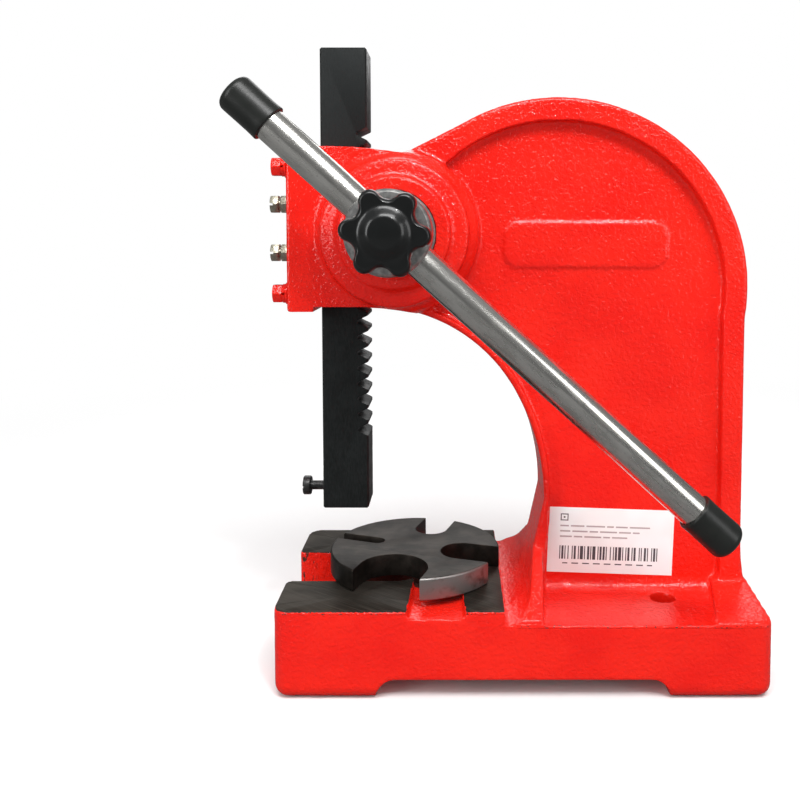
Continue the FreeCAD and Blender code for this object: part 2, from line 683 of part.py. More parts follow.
def rack_phase():
    """Angle of one pinion tooth that stands in mesh with the rack at rest."""
    gap_offset = (RACK_FIRST_GAP_Z - PINION_Z) % RACK_PITCH
    return math.pi - gap_offset / PITCH_R


def pinion_shaft():
    """Pinion, its two journals and the lever hub in one piece."""
    teeth = Part.Face(pinion_outline(rack_phase()))
    teeth.translate(Vector(0, -PINION_HALF_Y, 0))
    teeth = teeth.extrude(Vector(0, 2 * PINION_HALF_Y, 0))
    turned = turned_y([
        (0, HUB_FACE_Y), (HUB_R - 1.6, HUB_FACE_Y), (HUB_R, HUB_FACE_Y + 1.6),
        (HUB_R, NEAR_BOSS_Y - 1.0), (NEAR_JOURNAL_R, NEAR_BOSS_Y - 0.3), (NEAR_JOURNAL_R, -PINION_HALF_Y),
        (PINION_ROOT_R, -PINION_HALF_Y), (PINION_ROOT_R, -PINION_HALF_Y + 1), (0, -PINION_HALF_Y + 1),
    ], PINION_X, PINION_Z)
    far_journal = turned_y([
        (0, PINION_HALF_Y - 1), (FAR_JOURNAL_R, PINION_HALF_Y - 1), (FAR_JOURNAL_R, FAR_BOSS_Y - 0.5),
        (FAR_JOURNAL_R - 1.0, FAR_BOSS_Y + 0.5), (0, FAR_BOSS_Y + 0.5),
    ], PINION_X, PINION_Z)
    start = LEVER_CENTRE - LEVER_DIRECTION * 40
    cross_hole = Part.makeCylinder(LEVER_HOLE_R, 80, start, LEVER_DIRECTION)
    stud_hole = cylinder_y(STUD_R + 0.05, HUB_FACE_Y - 1, LEVER_Y, PINION_X, PINION_Z)
    end_hole = cylinder_y(END_BOLT_R + 0.05, FAR_BOSS_Y - 19, FAR_BOSS_Y + 2, PINION_X, PINION_Z)
    return cut_all(fuse_all([turned, teeth, far_journal]), [cross_hole, stud_hole, end_hole])


END_BOLT_R = 4.0
END_WASHER_R = 18.0
END_WASHER_Y = (FAR_BOSS_Y + 0.5, FAR_BOSS_Y + 3.5)


def shaft_end_washer():
    """Thick washer that keeps the shaft in the casting."""
    washer = cylinder_y(END_WASHER_R, END_WASHER_Y[0], END_WASHER_Y[1], PINION_X, PINION_Z)
    rims = [e for e in washer.Edges if e.Length > 50 and len(e.Vertexes) == 1]
    washer = washer.makeChamfer(0.6, rims)
    return washer.cut(cylinder_y(END_BOLT_R + 0.2, END_WASHER_Y[0] - 1, END_WASHER_Y[1] + 1, PINION_X, PINION_Z))


def shaft_end_bolt():
    """Hexagon-head bolt in the far end of the shaft."""
    across_flats = 13.0
    radius = across_flats / math.sqrt(3.0)
    corners = []
    for i in range(7):
        angle = math.radians(60.0 * i + 12.0)
        corners.append(Vector(PINION_X + radius * math.cos(angle), END_WASHER_Y[1],
                              PINION_Z + radius * math.sin(angle)))
    height = 5.3
    head = Part.Face(Part.makePolygon(corners)).extrude(Vector(0, height, 0))
    cone = Part.makeCone(radius + 1.9 * height - 0.9, radius - 0.9, height,
                         Vector(PINION_X, END_WASHER_Y[1], PINION_Z), FAR)
    shank = cylinder_y(END_BOLT_R, FAR_BOSS_Y - 17, END_WASHER_Y[1] + 0.5, PINION_X, PINION_Z)
    return fuse_all([head.common(cone), shank])


# ---------------------------------------------------------------- lever and knob
def lever_point(distance):
    """Point on the lever's centre line, counted from the pinion axis."""
    return LEVER_CENTRE + LEVER_DIRECTION * distance


def lever_bar():
    """Round bar through the hub."""
    start = -LEVER_SHORT + CAP_WALL
    length = LEVER_LONG + LEVER_SHORT - 2 * CAP_WALL
    bar = Part.makeCylinder(LEVER_R, length, lever_point(start), LEVER_DIRECTION)
    ends = [e for e in bar.Edges if e.Length > 40 and len(e.Vertexes) == 1]
    return bar.makeChamfer(1.0, ends)


def lever_cap(end, direction):
    """Push-on cap with a rounded end; direction is +1 or -1 along the lever."""
    axis = LEVER_DIRECTION * direction
    mouth = lever_point(end - direction * CAP_LENGTH)
    shell = Part.makeCylinder(CAP_R, CAP_LENGTH, mouth, axis)
    tip = lever_point(end)
    rim = [e for e in shell.Edges if len(e.Vertexes) == 1 and (e.CenterOfMass - tip).Length < 0.1]
    shell = shell.makeFillet(5.0, rim)
    return shell.cut(Part.makeCylinder(LEVER_R + 0.05, CAP_LENGTH - CAP_WALL, mouth, axis))


def star_outline(y):
    """Closed curve of six round lobes joined by round valleys, at one Y."""
    lobe_distance = KNOB_R - KNOB_LOBE_R
    half_step = math.pi / KNOB_LOBES
    # the valley circle touches both neighbouring lobes and reaches in to the valley radius
    across = math.cos(half_step) * lobe_distance
    valley_r = (lobe_distance ** 2 + KNOB_VALLEY_R ** 2 - 2 * across * KNOB_VALLEY_R - KNOB_LOBE_R ** 2)
    valley_r = valley_r / (2 * (KNOB_LOBE_R + across - KNOB_VALLEY_R))
    valley_distance = KNOB_VALLEY_R + valley_r

    def at(radius, angle):
        return Vector(PINION_X + radius * math.cos(angle), y, PINION_Z + radius * math.sin(angle))

    edges = []
    share = KNOB_LOBE_R / (KNOB_LOBE_R + valley_r)
    for lobe in range(KNOB_LOBES):
        middle = KNOB_PHASE + 2 * half_step * lobe
        lobe_centre = at(lobe_distance, middle)
        next_lobe_centre = at(lobe_distance, middle + 2 * half_step)
        valley_before = at(valley_distance, middle - half_step)
        valley_after = at(valley_distance, middle + half_step)
        lobe_start = lobe_centre + (valley_before - lobe_centre) * share
        lobe_end = lobe_centre + (valley_after - lobe_centre) * share
        next_start = next_lobe_centre + (valley_after - next_lobe_centre) * share
        edges.append(Part.Arc(lobe_start, at(KNOB_R, middle), lobe_end).toShape())
        edges.append(Part.Arc(lobe_end, at(KNOB_VALLEY_R, middle + half_step), next_start).toShape())
    return Part.Wire(edges)


def star_knob():
    """Six-lobed hand knob with a domed middle and a boss behind."""
    body = Part.Face(star_outline(KNOB_FRONT_Y)).extrude(Vector(0, KNOB_BACK_Y - KNOB_FRONT_Y, 0))
    rims = [e for e in body.Edges if abs(e.Vertexes[0].Y - e.Vertexes[1].Y) < 0.01]
    body = body.makeFillet(2.6, rims)
    dome = turned_y([
        (0, KNOB_FRONT_Y + 2), (0, KNOB_DOME_Y), (9.0, KNOB_DOME_Y),
        ("arc", (12.3, KNOB_DOME_Y + 1.4), (13.6, KNOB_FRONT_Y)), (13.6, KNOB_FRONT_Y + 2),
    ], PINION_X, PINION_Z)
    boss = cylinder_y(9.5, KNOB_BACK_Y - 1, HUB_FACE_Y - 0.6, PINION_X, PINION_Z)
    bore = cylinder_y(STUD_R + 0.05, KNOB_FRONT_Y + 2, HUB_FACE_Y + 1, PINION_X, PINION_Z)
    return fuse_all([body, dome, boss]).cut(bore)


def knob_stud():
    """Threaded stud from the knob to the lever."""
    stud = cylinder_y(STUD_R, KNOB_FRONT_Y + 2.5, LEVER_Y - LEVER_R - 0.15, PINION_X, PINION_Z)
    ends = [e for e in stud.Edges if len(e.Vertexes) == 1 and e.Length > 20]
    return stud.makeChamfer(0.8, ends)


# ---------------------------------------------------------------- table plate and label
def plate_slot(degrees, width, inner_r):
    """U-shaped slot from the rim towards the plate's centre."""
    half = width / 2.0
    reach = PLATE_R + 5
    bottom = TABLE_Z - 1
    height = PLATE_THICKNESS + 2
    straight = Part.makeBox(reach, width, height, Vector(inner_r + half, -half, bottom))
    end = Part.makeCylinder(half, height, Vector(inner_r + half, 0, bottom))
    slot = straight.fuse(end).removeSplitter()
    slot.rotate(Vector(0, 0, 0), UP, degrees)
    slot.translate(Vector(PLATE_X, 0, 0))
    return slot


def arbor_plate():
    """Round plate that lies on the table, with four slots of different widths."""
    disc = Part.makeCylinder(PLATE_R, PLATE_THICKNESS, Vector(PLATE_X, 0, TABLE_Z))
    rims = [e for e in disc.Edges if len(e.Vertexes) == 1]
    disc = disc.makeChamfer(0.8, rims)
    return cut_all(disc, [plate_slot(*slot) for slot in PLATE_SLOTS])


LABEL_X = (17.4, 91.4)
LABEL_Z = (48.3, 87.3)
LABEL_THICKNESS = 0.15
LABEL_TILT = 2.0


def info_label():
    """Paper label stuck slightly crooked on the web."""
    label = block(LABEL_X, (-WEB_HALF_Y - LABEL_THICKNESS, -WEB_HALF_Y), LABEL_Z)
    label.rotate(Vector(LABEL_X[1], 0, LABEL_Z[0]), FAR, LABEL_TILT)
    return label


# ---------------------------------------------------------------- write every sub-part
os.makedirs("parts", exist_ok=True)
save("frame_casting", frame_casting())
save("cover_plate", cover_plate())
save("gib_strip", gib_strip())
save("cover_bolts", cover_bolts())
save("cover_bolt_washers", cover_bolt_rings(WASHER_FRONT_X, COVER_FRONT_X, 6.3, False))
save("cover_bolt_lock_washers", cover_bolt_rings(LOCK_WASHER_FRONT_X, WASHER_FRONT_X, 5.5, True))
save("upper_adjusting_screw", adjusting_screw(ADJUSTER_UPPER_Z))
save("lower_adjusting_screw", adjusting_screw(ADJUSTER_LOWER_Z))
save("upper_lock_nut", lock_nut(ADJUSTER_UPPER_Z))
save("lower_lock_nut", lock_nut(ADJUSTER_LOWER_Z))
save("ram", ram())
save("tool_clamp_screw", tool_clamp_screw())
save("pinion_shaft", pinion_shaft())
save("shaft_end_washer", shaft_end_washer())
save("shaft_end_bolt", shaft_end_bolt())
save("lever_bar", lever_bar())
save("upper_lever_cap", lever_cap(-LEVER_SHORT, -1))
save("lower_lever_cap", lever_cap(LEVER_LONG, 1))
save("star_knob", star_knob())
save("knob_stud", knob_stud())
save("arbor_plate", arbor_plate())
save("info_label", info_label())
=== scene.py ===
import json
import math

import bmesh
import bpy
import numpy as np
from mathutils import Matrix, Vector


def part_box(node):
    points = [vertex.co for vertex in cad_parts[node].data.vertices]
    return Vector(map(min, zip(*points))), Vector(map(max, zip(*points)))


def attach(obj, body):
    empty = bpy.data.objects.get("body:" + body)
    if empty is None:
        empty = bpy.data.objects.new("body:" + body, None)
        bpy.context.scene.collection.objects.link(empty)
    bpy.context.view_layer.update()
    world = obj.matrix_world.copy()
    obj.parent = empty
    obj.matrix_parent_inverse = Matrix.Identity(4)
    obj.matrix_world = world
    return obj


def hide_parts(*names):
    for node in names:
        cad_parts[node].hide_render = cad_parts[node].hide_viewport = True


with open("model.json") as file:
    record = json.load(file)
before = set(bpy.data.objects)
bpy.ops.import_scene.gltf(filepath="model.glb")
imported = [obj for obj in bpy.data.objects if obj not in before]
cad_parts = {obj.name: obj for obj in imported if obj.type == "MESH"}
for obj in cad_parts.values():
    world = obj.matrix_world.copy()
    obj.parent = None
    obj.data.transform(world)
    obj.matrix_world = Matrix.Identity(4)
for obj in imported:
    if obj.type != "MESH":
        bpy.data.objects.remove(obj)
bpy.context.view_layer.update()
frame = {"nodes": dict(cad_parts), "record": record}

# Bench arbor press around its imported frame. Metres, +Z up; MM turns millimetres into metres.
MM = 0.001
NODES = frame["nodes"]
RECORD = frame["record"]
JOINTS = {joint["name"]: joint for joint in RECORD["behaviour"]["joints"]}
NODE_BODY = {}
for body, members in RECORD["behaviour"]["bodies"].items():
    for member in members:
        NODE_BODY[member] = body


# ---------------------------------------------------------------- places taken from the frame
def middle(node):
    """Centre of a CAD node's box."""
    low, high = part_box(node)
    return (low + high) / 2


AXLE = Vector(JOINTS["pinion_spin"]["pos_m"])
HUB_BORE_R = 23.6 * MM  # just over the bore's own radius, so that its wall counts as inside
NEAR_BOSS_Y = -50.0 * MM
LEVER_DIRECTION = Vector(JOINTS["lever_slide"]["axis"]).normalized()
LEVER_TILT = math.atan2(-LEVER_DIRECTION.z, LEVER_DIRECTION.x)
LEVER_R = 8.75 * MM
PLATE_CENTRE = Vector(JOINTS["plate_turn"]["pos_m"])
PLATE_R = 50.8 * MM
TABLE_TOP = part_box("arbor_plate")[0].z  # the plate lies on the ground pads
CASTING_LOW, CASTING_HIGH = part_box("frame_casting")
BASE_X = (CASTING_LOW.x + CASTING_HIGH.x) / 2
TABLE_END_X = BASE_X - 9.7 * MM
SLOT_HALF = 22.0 * MM
HEAD_FLOOR_Z = 200.0 * MM  # all of the ram head lies above it
COVER_LOW, COVER_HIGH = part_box("cover_plate")
COVER_JOINT_X = COVER_HIGH.x
HEAD_HALF_Y = COVER_HIGH.y
RAM_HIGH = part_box("ram")[1]


# ---------------------------------------------------------------- mesh helpers
def link_mesh(name, mesh):
    """Object for a mesh, placed in the row frame."""
    piece = bpy.data.objects.new(name, mesh)
    bpy.context.collection.objects.link(piece)
    return piece


def mesh_from(name, vertices, faces):
    """Object from points in metres and faces."""
    mesh = bpy.data.meshes.new(name)
    mesh.from_pydata([tuple(v) for v in vertices], [], faces)
    mesh.update()
    return link_mesh(name, mesh)


def cad_copy(node, name):
    """New object with a CAD node's shape, its tessellation welded and flat faces merged."""
    mesh = NODES[node].data.copy()
    mesh.materials.clear()
    work = bmesh.new()
    work.from_mesh(mesh)
    bmesh.ops.remove_doubles(work, verts=work.verts, dist=0.002 * MM)
    bmesh.ops.dissolve_limit(work, angle_limit=math.radians(0.5), verts=work.verts, edges=work.edges)
    for face in work.faces:
        face.material_index = 0
        face.smooth = True
    work.to_mesh(mesh)
    work.free()
    for layer in [item for item in mesh.attributes if item.name.startswith("custom_normal")]:
        mesh.attributes.remove(layer)
    return link_mesh(name, mesh)


def bake_modifiers(piece):
    """Replace a piece's mesh by what its modifiers make of it."""
    bpy.context.view_layer.update()
    graph = bpy.context.evaluated_depsgraph_get()
    made = bpy.data.meshes.new_from_object(piece.evaluated_get(graph))
    piece.modifiers.clear()
    piece.data = made
    return piece


def points_of(mesh):
    """Vertex places as an array."""
    flat = np.empty(len(mesh.vertices) * 3)
    mesh.vertices.foreach_get("co", flat)
    return flat.reshape(-1, 3)


def normals_of(mesh):
    """Vertex normals as an array."""
    flat = np.empty(len(mesh.vertices) * 3)
    mesh.vertex_normals.foreach_get("vector", flat)
    return flat.reshape(-1, 3)


def put_points(mesh, points):
    """Write vertex places back."""
    mesh.vertices.foreach_set("co", points.reshape(-1))
    mesh.update()


def smooth_step(values, low, high):
    """0 below low, 1 above high, with soft ends."""
    share = np.clip((values - low) / (high - low), 0.0, 1.0)
    return share * share * (3.0 - 2.0 * share)


HASH_PRIMES = np.array([73856093, 19349663, 83492791])
HASH_MASK = 0x7FFFFFFF
NOISE_GAIN = 1.4


def lattice_noise(points, size, seed):
    """Gradient noise between about -1 and 1 with lumps of a chosen size.

    The gradient at each lattice corner comes from an integer hash of its place and the seed."""
    scaled = points / size
    cell = np.floor(scaled).astype(np.int64)
    inside = scaled - cell
    fade = inside ** 3 * (inside * (inside * 6.0 - 15.0) + 10.0)
    total = np.zeros(len(points))
    for corner in np.ndindex(2, 2, 2):
        offset = np.array(corner)
        key = (cell + offset) * HASH_PRIMES
        code = (key[:, 0] ^ key[:, 1] ^ key[:, 2]) + seed * 40503
        code = (code ^ (code >> 13)) * 1274126177 & HASH_MASK
        code = (code ^ (code >> 15)) * 668265263 & HASH_MASK
        gradient = np.stack([code & 1023, (code >> 10) & 1023, (code >> 20) & 1023], 1) / 511.5 - 1.0
        weight = np.prod(np.where(offset == 1, fade, 1.0 - fade), axis=1)
        total += weight * np.sum(gradient * (inside - offset), axis=1)
    return total * NOISE_GAIN


def sharpen_by_angle(piece, degrees):
    """Smooth shading with creases where faces meet at more than an angle."""
    piece.data.shade_smooth()
    piece.data.set_sharp_from_angle(angle=math.radians(degrees))
    return piece


def add_to_body(piece, node, materials):
    """Give a piece its finish and let it stand for its CAD node."""
    piece.data.materials.clear()
    for material in materials:
        piece.data.materials.append(material)
    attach(piece, NODE_BODY[node])
    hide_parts(node)
    return piece


def edged_copy(node, name, width, segments):
    """CAD shape with its sharp edges broken."""
    piece = cad_copy(node, name)
    bevel = piece.modifiers.new("edges", "BEVEL")
    bevel.width = width
    bevel.segments = segments
    bevel.limit_method = "ANGLE"
    bevel.angle_limit = math.radians(32)
    bake_modifiers(piece)
    return sharpen_by_angle(piece, 38)


def turned(name, axis_point, direction, profile, segments=96):
    """Surface of revolution from (distance along the axis, radius) points, in metres."""
    along = Vector(direction).normalized()
    side = along.cross(Vector((0, 0, 1)))
    if side.length < 0.1:
        side = along.cross(Vector((0, 1, 0)))
    side.normalize()
    other = along.cross(side)
    vertices = []
    rings = []
    for distance, radius in profile:
        centre = axis_point + along * distance
        if radius < 1e-7:
            rings.append([len(vertices)])
            vertices.append(centre)
            continue
        ring = []
        for i in range(segments):
            angle = 2 * math.pi * i / segments
            ring.append(len(vertices))
            vertices.append(centre + (side * math.cos(angle) + other * math.sin(angle)) * radius)
        rings.append(ring)
    faces = []
    for first, second in zip(rings, rings[1:]):
        for i in range(segments):
            j = (i + 1) % segments
            if len(first) == 1:
                faces.append((first[0], second[i], second[j]))
            elif len(second) == 1:
                faces.append((first[i], second[0], first[j]))
            else:
                faces.append((first[i], second[i], second[j], first[j]))
    return mesh_from(name, vertices, faces)


def face_outward(piece):
    """Turn every face of a closed piece outward."""
    work = bmesh.new()
    work.from_mesh(piece.data)
    bmesh.ops.recalc_face_normals(work, faces=work.faces)
    work.to_mesh(piece.data)
    work.free()
    return piece


def arc_points(centre, radius, start_degrees, end_degrees, count):
    """Profile points (distance, radius) along an arc."""
    points = []
    for i in range(count + 1):
        angle = math.radians(start_degrees + (end_degrees - start_degrees) * i / count)
        points.append((centre[0] + radius * math.cos(angle), centre[1] + radius * math.sin(angle)))
    return points


# ---------------------------------------------------------------- material helper
class Finish:
    """Principled material whose patterns are measured in millimetres in the part's own frame."""

    def __init__(self, name, colour, roughness, metallic=0.0, turn=(0.0, 0.0, 0.0), **sockets):
        self.material = bpy.data.materials.new(name)
        self.material.use_nodes = True
        self.tree = self.material.node_tree
        self.shader = self.tree.nodes["Principled BSDF"]
        self.shader.inputs["Base Color"].default_value = (*colour, 1.0)
        self.shader.inputs["Roughness"].default_value = roughness
        self.shader.inputs["Metallic"].default_value = metallic
        for socket, value in sockets.items():
            name = socket.replace("_", " ").title().replace("Ior", "IOR")
            self.shader.inputs[name].default_value = value
        mapping = self.node("ShaderNodeMapping")
        mapping.vector_type = "POINT"
        mapping.inputs["Scale"].default_value = (1000.0, 1000.0, 1000.0)
        mapping.inputs["Rotation"].default_value = turn
        coordinates = self.node("ShaderNodeTexCoord")
        self.join(coordinates.outputs["Object"], mapping.inputs["Vector"])
        self.place = mapping.outputs["Vector"]

    def node(self, kind):
        return self.tree.nodes.new(kind)

    def join(self, source, target):
        self.tree.links.new(source, target)

    def feed(self, value, target):
        """Link an output, or set a plain value."""
        if isinstance(value, bpy.types.NodeSocket):
            self.join(value, target)
        else:
            target.default_value = value

    def stretched(self, factors, place=None):
        """Coordinates multiplied by a factor on each axis."""
        scale = self.node("ShaderNodeVectorMath")
        scale.operation = "MULTIPLY"
        self.join(place or self.place, scale.inputs[0])
        scale.inputs[1].default_value = factors
        return scale.outputs["Vector"]

    def noise(self, size, detail=2.0, roughness=0.5, place=None, distortion=0.0):
        """Noise with lumps of a size in millimetres."""
        noise = self.node("ShaderNodeTexNoise")
        self.join(place or self.place, noise.inputs["Vector"])
        noise.inputs["Scale"].default_value = 1.0 / size
        noise.inputs["Detail"].default_value = detail
        noise.inputs["Roughness"].default_value = roughness
        noise.inputs["Distortion"].default_value = distortion
        return noise.outputs["Fac"]

    def math(self, operation, first, second=0.0, clamp=False):
        node = self.node("ShaderNodeMath")
        node.operation = operation
        node.use_clamp = clamp
        self.feed(first, node.inputs[0])
        self.feed(second, node.inputs[1])
        return node.outputs[0]

    def product(self, first, *others):
        """All values multiplied."""
        for other in others:
            first = self.math("MULTIPLY", first, other)
        return first

    def most(self, first, *others):
        """The greatest of the values."""
        for other in others:
            first = self.math("MAXIMUM", first, other)
        return first

    def distance(self, first, second):
        """Distance from zero of a point with two coordinates."""
        squares = [self.math("POWER", value, 2.0) for value in (first, second)]
        return self.math("SQRT", self.math("ADD", *squares))

    def band(self, value, low, high, out_low=0.0, out_high=1.0):
        """Smooth step of a value from low to high."""
        node = self.node("ShaderNodeMapRange")
        node.interpolation_type = "SMOOTHSTEP"
        self.join(value, node.inputs["Value"])
        node.inputs["From Min"].default_value = low
        node.inputs["From Max"].default_value = high
        node.inputs["To Min"].default_value = out_low
        node.inputs["To Max"].default_value = out_high
        return node.outputs["Result"]

    def blend(self, share, first, second):
        """Colour between two by a share."""
        node = self.node("ShaderNodeMix")
        node.data_type = "RGBA"
        self.feed(share, node.inputs["Factor"])
        for value, socket in ((first, node.inputs[6]), (second, node.inputs[7])):
            if isinstance(value, bpy.types.NodeSocket):
                self.join(value, socket)
            else:
                socket.default_value = (*value, 1.0)
        return node.outputs[2]

    def between(self, share, first, second):
        """Number between two by a share."""
        node = self.node("ShaderNodeMix")
        node.data_type = "FLOAT"
        self.feed(share, node.inputs["Factor"])
        self.feed(first, node.inputs[2])
        self.feed(second, node.inputs[3])
        return node.outputs[0]

    def axes(self, place=None):
        """X, Y and Z of the coordinates, in millimetres."""
        split = self.node("ShaderNodeSeparateXYZ")
        self.join(place or self.place, split.inputs[0])
        return split.outputs

    def colour(self, value):
        self.join(value, self.shader.inputs["Base Color"])

    def rough(self, value):
        self.join(value, self.shader.inputs["Roughness"])

    def bump(self, layers, strength=1.0):
        """Bump from (height share, height in millimetres) layers added together."""
        total = None
        for height, depth in layers:
            part = self.math("MULTIPLY", height, depth)
            total = part if total is None else self.math("ADD", total, part)
        node = self.node("ShaderNodeBump")
        node.inputs["Strength"].default_value = strength
        node.inputs["Distance"].default_value = MM
        self.join(total, node.inputs["Height"])
        self.join(node.outputs["Normal"], self.shader.inputs["Normal"])
        coat = self.shader.inputs["Coat Weight"]
        if coat.default_value > 0 or coat.is_linked:
            self.join(node.outputs["Normal"], self.shader.inputs["Coat Normal"])


# ---------------------------------------------------------------- materials
RED_BRIGHT = (0.87, 0.017, 0.008)
RED_DEEP = (0.80, 0.011, 0.006)
IRON_DARK = (0.029, 0.025, 0.020)
IRON_LIGHT = (0.062, 0.054, 0.045)
IRON_GROUND = (0.12, 0.106, 0.090)
ENAMEL_ROUGHNESS = 0.5
ENAMEL_COAT = {"coat_weight": 1.0, "coat_roughness": 0.075, "specular_ior_level": 0.0}
GRIND_ANGLE = math.radians(35)
# where the casting's enamel ends or is worn, in millimetres
TABLE_TOP_MM = TABLE_TOP / MM
TABLE_END_MM = TABLE_END_X / MM
BASE_RIM_MM = 40.6
# (start, end) of fades along X, in millimetres from the middle of the base
# painted shade: over this stretch the slot walls under the plate fade into dark iron
SLOT_SHADE_FADE = (-104.0, -92.0)
WEB_FADE = (-46.0, -45.0)
FRONT_WALL_FADE = (-134.0, -120.0)


def red_layers(finish, grain_depth):
    """Sand-cast grain, paint runs and broad lumps under the enamel."""
    grain = finish.noise(0.85, detail=3.0, roughness=0.55)
    pits = finish.band(finish.noise(2.1, detail=2.0, roughness=0.5), 0.42, 0.62)
    flow = finish.noise(5.0, detail=2.0, roughness=0.45)
    patch = finish.band(finish.noise(26.0, detail=1.0), 0.40, 0.62, 0.35, 1.0)
    rough_grain = finish.math("MULTIPLY", grain, patch)
    return [(rough_grain, grain_depth), (pits, grain_depth * 1.1), (flow, grain_depth * 1.8)]


def red_colour(finish):
    """Enamel colour, a little deeper where the paint is thick."""
    drift = finish.band(finish.noise(34.0, detail=2.0), 0.30, 0.72)
    return finish.blend(drift, RED_BRIGHT, RED_DEEP)


def axle_distance(finish, x, z):
    """Distance from the axis of the pinion shaft."""
    return finish.distance(finish.math("SUBTRACT", x, AXLE.x / MM), finish.math("SUBTRACT", z, AXLE.z / MM))


def along_base(finish, x, fade, out_low=0.0, out_high=1.0):
    """Smooth step over a fade that is counted from the middle of the base."""
    return finish.band(x, BASE_X / MM + fade[0], BASE_X / MM + fade[1], out_low, out_high)


def pad_share(finish, x, z, ragged):
    """Ground pads of the table, where the paint ends in a ragged line."""
    on_top = finish.band(finish.math("ADD", z, ragged), TABLE_TOP_MM - 0.55, TABLE_TOP_MM - 0.35)
    below_head = finish.band(z, TABLE_TOP_MM + 2.0, TABLE_TOP_MM + 2.4, 1.0, 0.0)
    before_column = finish.band(x, TABLE_END_MM - 0.3, TABLE_END_MM, 1.0, 0.0)
    return finish.product(on_top, below_head, before_column)


def bore_share(finish, x, z):
    """Wall of the shaft bore."""
    bore_r = HUB_BORE_R / MM
    return finish.band(axle_distance(finish, x, z), bore_r - 0.3, bore_r - 0.1, 1.0, 0.0)


def slot_shade_share(finish, x, z, ragged, in_slot):
    """Slot walls under the plate, where dark iron is painted in as the plate's shade."""
    low_down = finish.band(z, TABLE_TOP_MM - 0.2, TABLE_TOP_MM + 0.2, 1.0, 0.0)
    ragged_x = finish.math("ADD", x, finish.math("MULTIPLY", ragged, 6.0))
    shade_fade = along_base(finish, ragged_x, SLOT_SHADE_FADE)
    before_web = along_base(finish, x, WEB_FADE, 1.0, 0.0)
    return finish.product(in_slot, low_down, shade_fade, before_web, 0.92)


def fringe_share(finish, x, y, z):
    """Edges of the base and of the table on both sides, where the paint is uneven."""
    side_y = CASTING_HIGH.y / MM
    near_side = finish.band(finish.math("ABSOLUTE", y), side_y - 1.9, side_y - 1.2)
    from_rim = finish.math("ABSOLUTE", finish.math("SUBTRACT", z, BASE_RIM_MM))
    behind_table = finish.band(x, TABLE_END_MM + 5.0, TABLE_END_MM + 7.0)
    base_edge = finish.product(finish.band(from_rim, 0.7, 1.3, 1.0, 0.0), behind_table)
    from_pad = finish.math("ABSOLUTE", finish.math("SUBTRACT", z, TABLE_TOP_MM - 0.7))
    pad_edge = finish.band(from_pad, 0.6, 1.1, 1.0, 0.0)
    return finish.product(near_side, finish.most(base_edge, pad_edge))


def chip_share(finish, x, fringe, in_slot):
    """Small chips along the fringe, and upright ones in the front walls beside the slot."""
    chipped = finish.band(finish.noise(1.5, detail=3.0, roughness=0.6), 0.60, 0.63)
    tall = finish.stretched((1.0, 1.0, 0.35))
    streaked = finish.band(finish.noise(2.6, detail=3.0, place=tall), 0.57, 0.60)
    in_front_wall = along_base(finish, x, FRONT_WALL_FADE, 1.0, 0.0)
    return finish.most(finish.product(fringe, chipped), finish.product(in_slot, in_front_wall, streaked))


def grind_lines(finish):
    """Fine lines of the surface grinder, aslant over the pads."""
    across = finish.node("ShaderNodeVectorRotate")
    across.rotation_type = "Z_AXIS"
    across.inputs["Angle"].default_value = GRIND_ANGLE
    finish.join(finish.place, across.inputs["Vector"])
    return finish.noise(0.5, detail=2.0, place=finish.stretched((0.02, 1.0, 1.0), across.outputs["Vector"]))


def casting_finish():
    """Red enamel, with unpainted iron on the pads, in the bore and where the paint is chipped, and dark iron
    painted as shade on the slot walls under the plate.
    """
    finish = Finish("red_enamel", RED_BRIGHT, ENAMEL_ROUGHNESS, **ENAMEL_COAT)
    x, y, z = finish.axes()
    ragged = finish.math("MULTIPLY", finish.math("SUBTRACT", finish.noise(1.4, detail=3.0), 0.5), 1.1)
    slot_half = SLOT_HALF / MM
    in_slot = finish.band(finish.math("ABSOLUTE", y), slot_half + 0.4, slot_half + 1.0, 1.0, 0.0)
    fringe = fringe_share(finish, x, y, z)
    # share of dark iron: unpainted iron on the pads, in the bore and at chips, plus painted shade on the slot
    # walls under the plate
    bare_and_shade = finish.most(pad_share(finish, x, z, ragged), bore_share(finish, x, z),
                       slot_shade_share(finish, x, z, ragged, in_slot), chip_share(finish, x, fringe, in_slot))
    grind = grind_lines(finish)
    blotch = finish.noise(9.0, detail=3.0, roughness=0.6)
    wide = finish.noise(30.0, detail=2.0)
    iron = finish.blend(finish.band(wide, 0.35, 0.65), IRON_DARK, IRON_LIGHT)
    iron = finish.blend(finish.band(grind, 0.46, 0.75, 0.0, 0.4), iron, IRON_GROUND)
    finish.colour(finish.blend(bare_and_shade, red_colour(finish), iron))
    finish.join(finish.between(bare_and_shade, 0.0, 0.75), finish.shader.inputs["Metallic"])
    finish.rough(finish.between(bare_and_shade, ENAMEL_ROUGHNESS, finish.between(blotch, 0.58, 0.48)))
    finish.join(finish.between(bare_and_shade, 1.0, 0.0), finish.shader.inputs["Coat Weight"])
    painted = finish.math("SUBTRACT", 1.0, bare_and_shade)
    layers = [(finish.product(height, painted), depth) for height, depth in red_layers(finish, 0.145)]
    layers.append((finish.product(grind, bare_and_shade), 0.03))
    layers.append((finish.product(finish.noise(1.6, detail=2.0), fringe), 0.45))
    finish.bump(layers)
    return finish.material


def painted_finish(name, grain_depth):
    """Red enamel for the cover and its fasteners."""
    finish = Finish(name, RED_BRIGHT, ENAMEL_ROUGHNESS, **ENAMEL_COAT)
    finish.colour(red_colour(finish))
    finish.bump(red_layers(finish, grain_depth))
    return finish.material


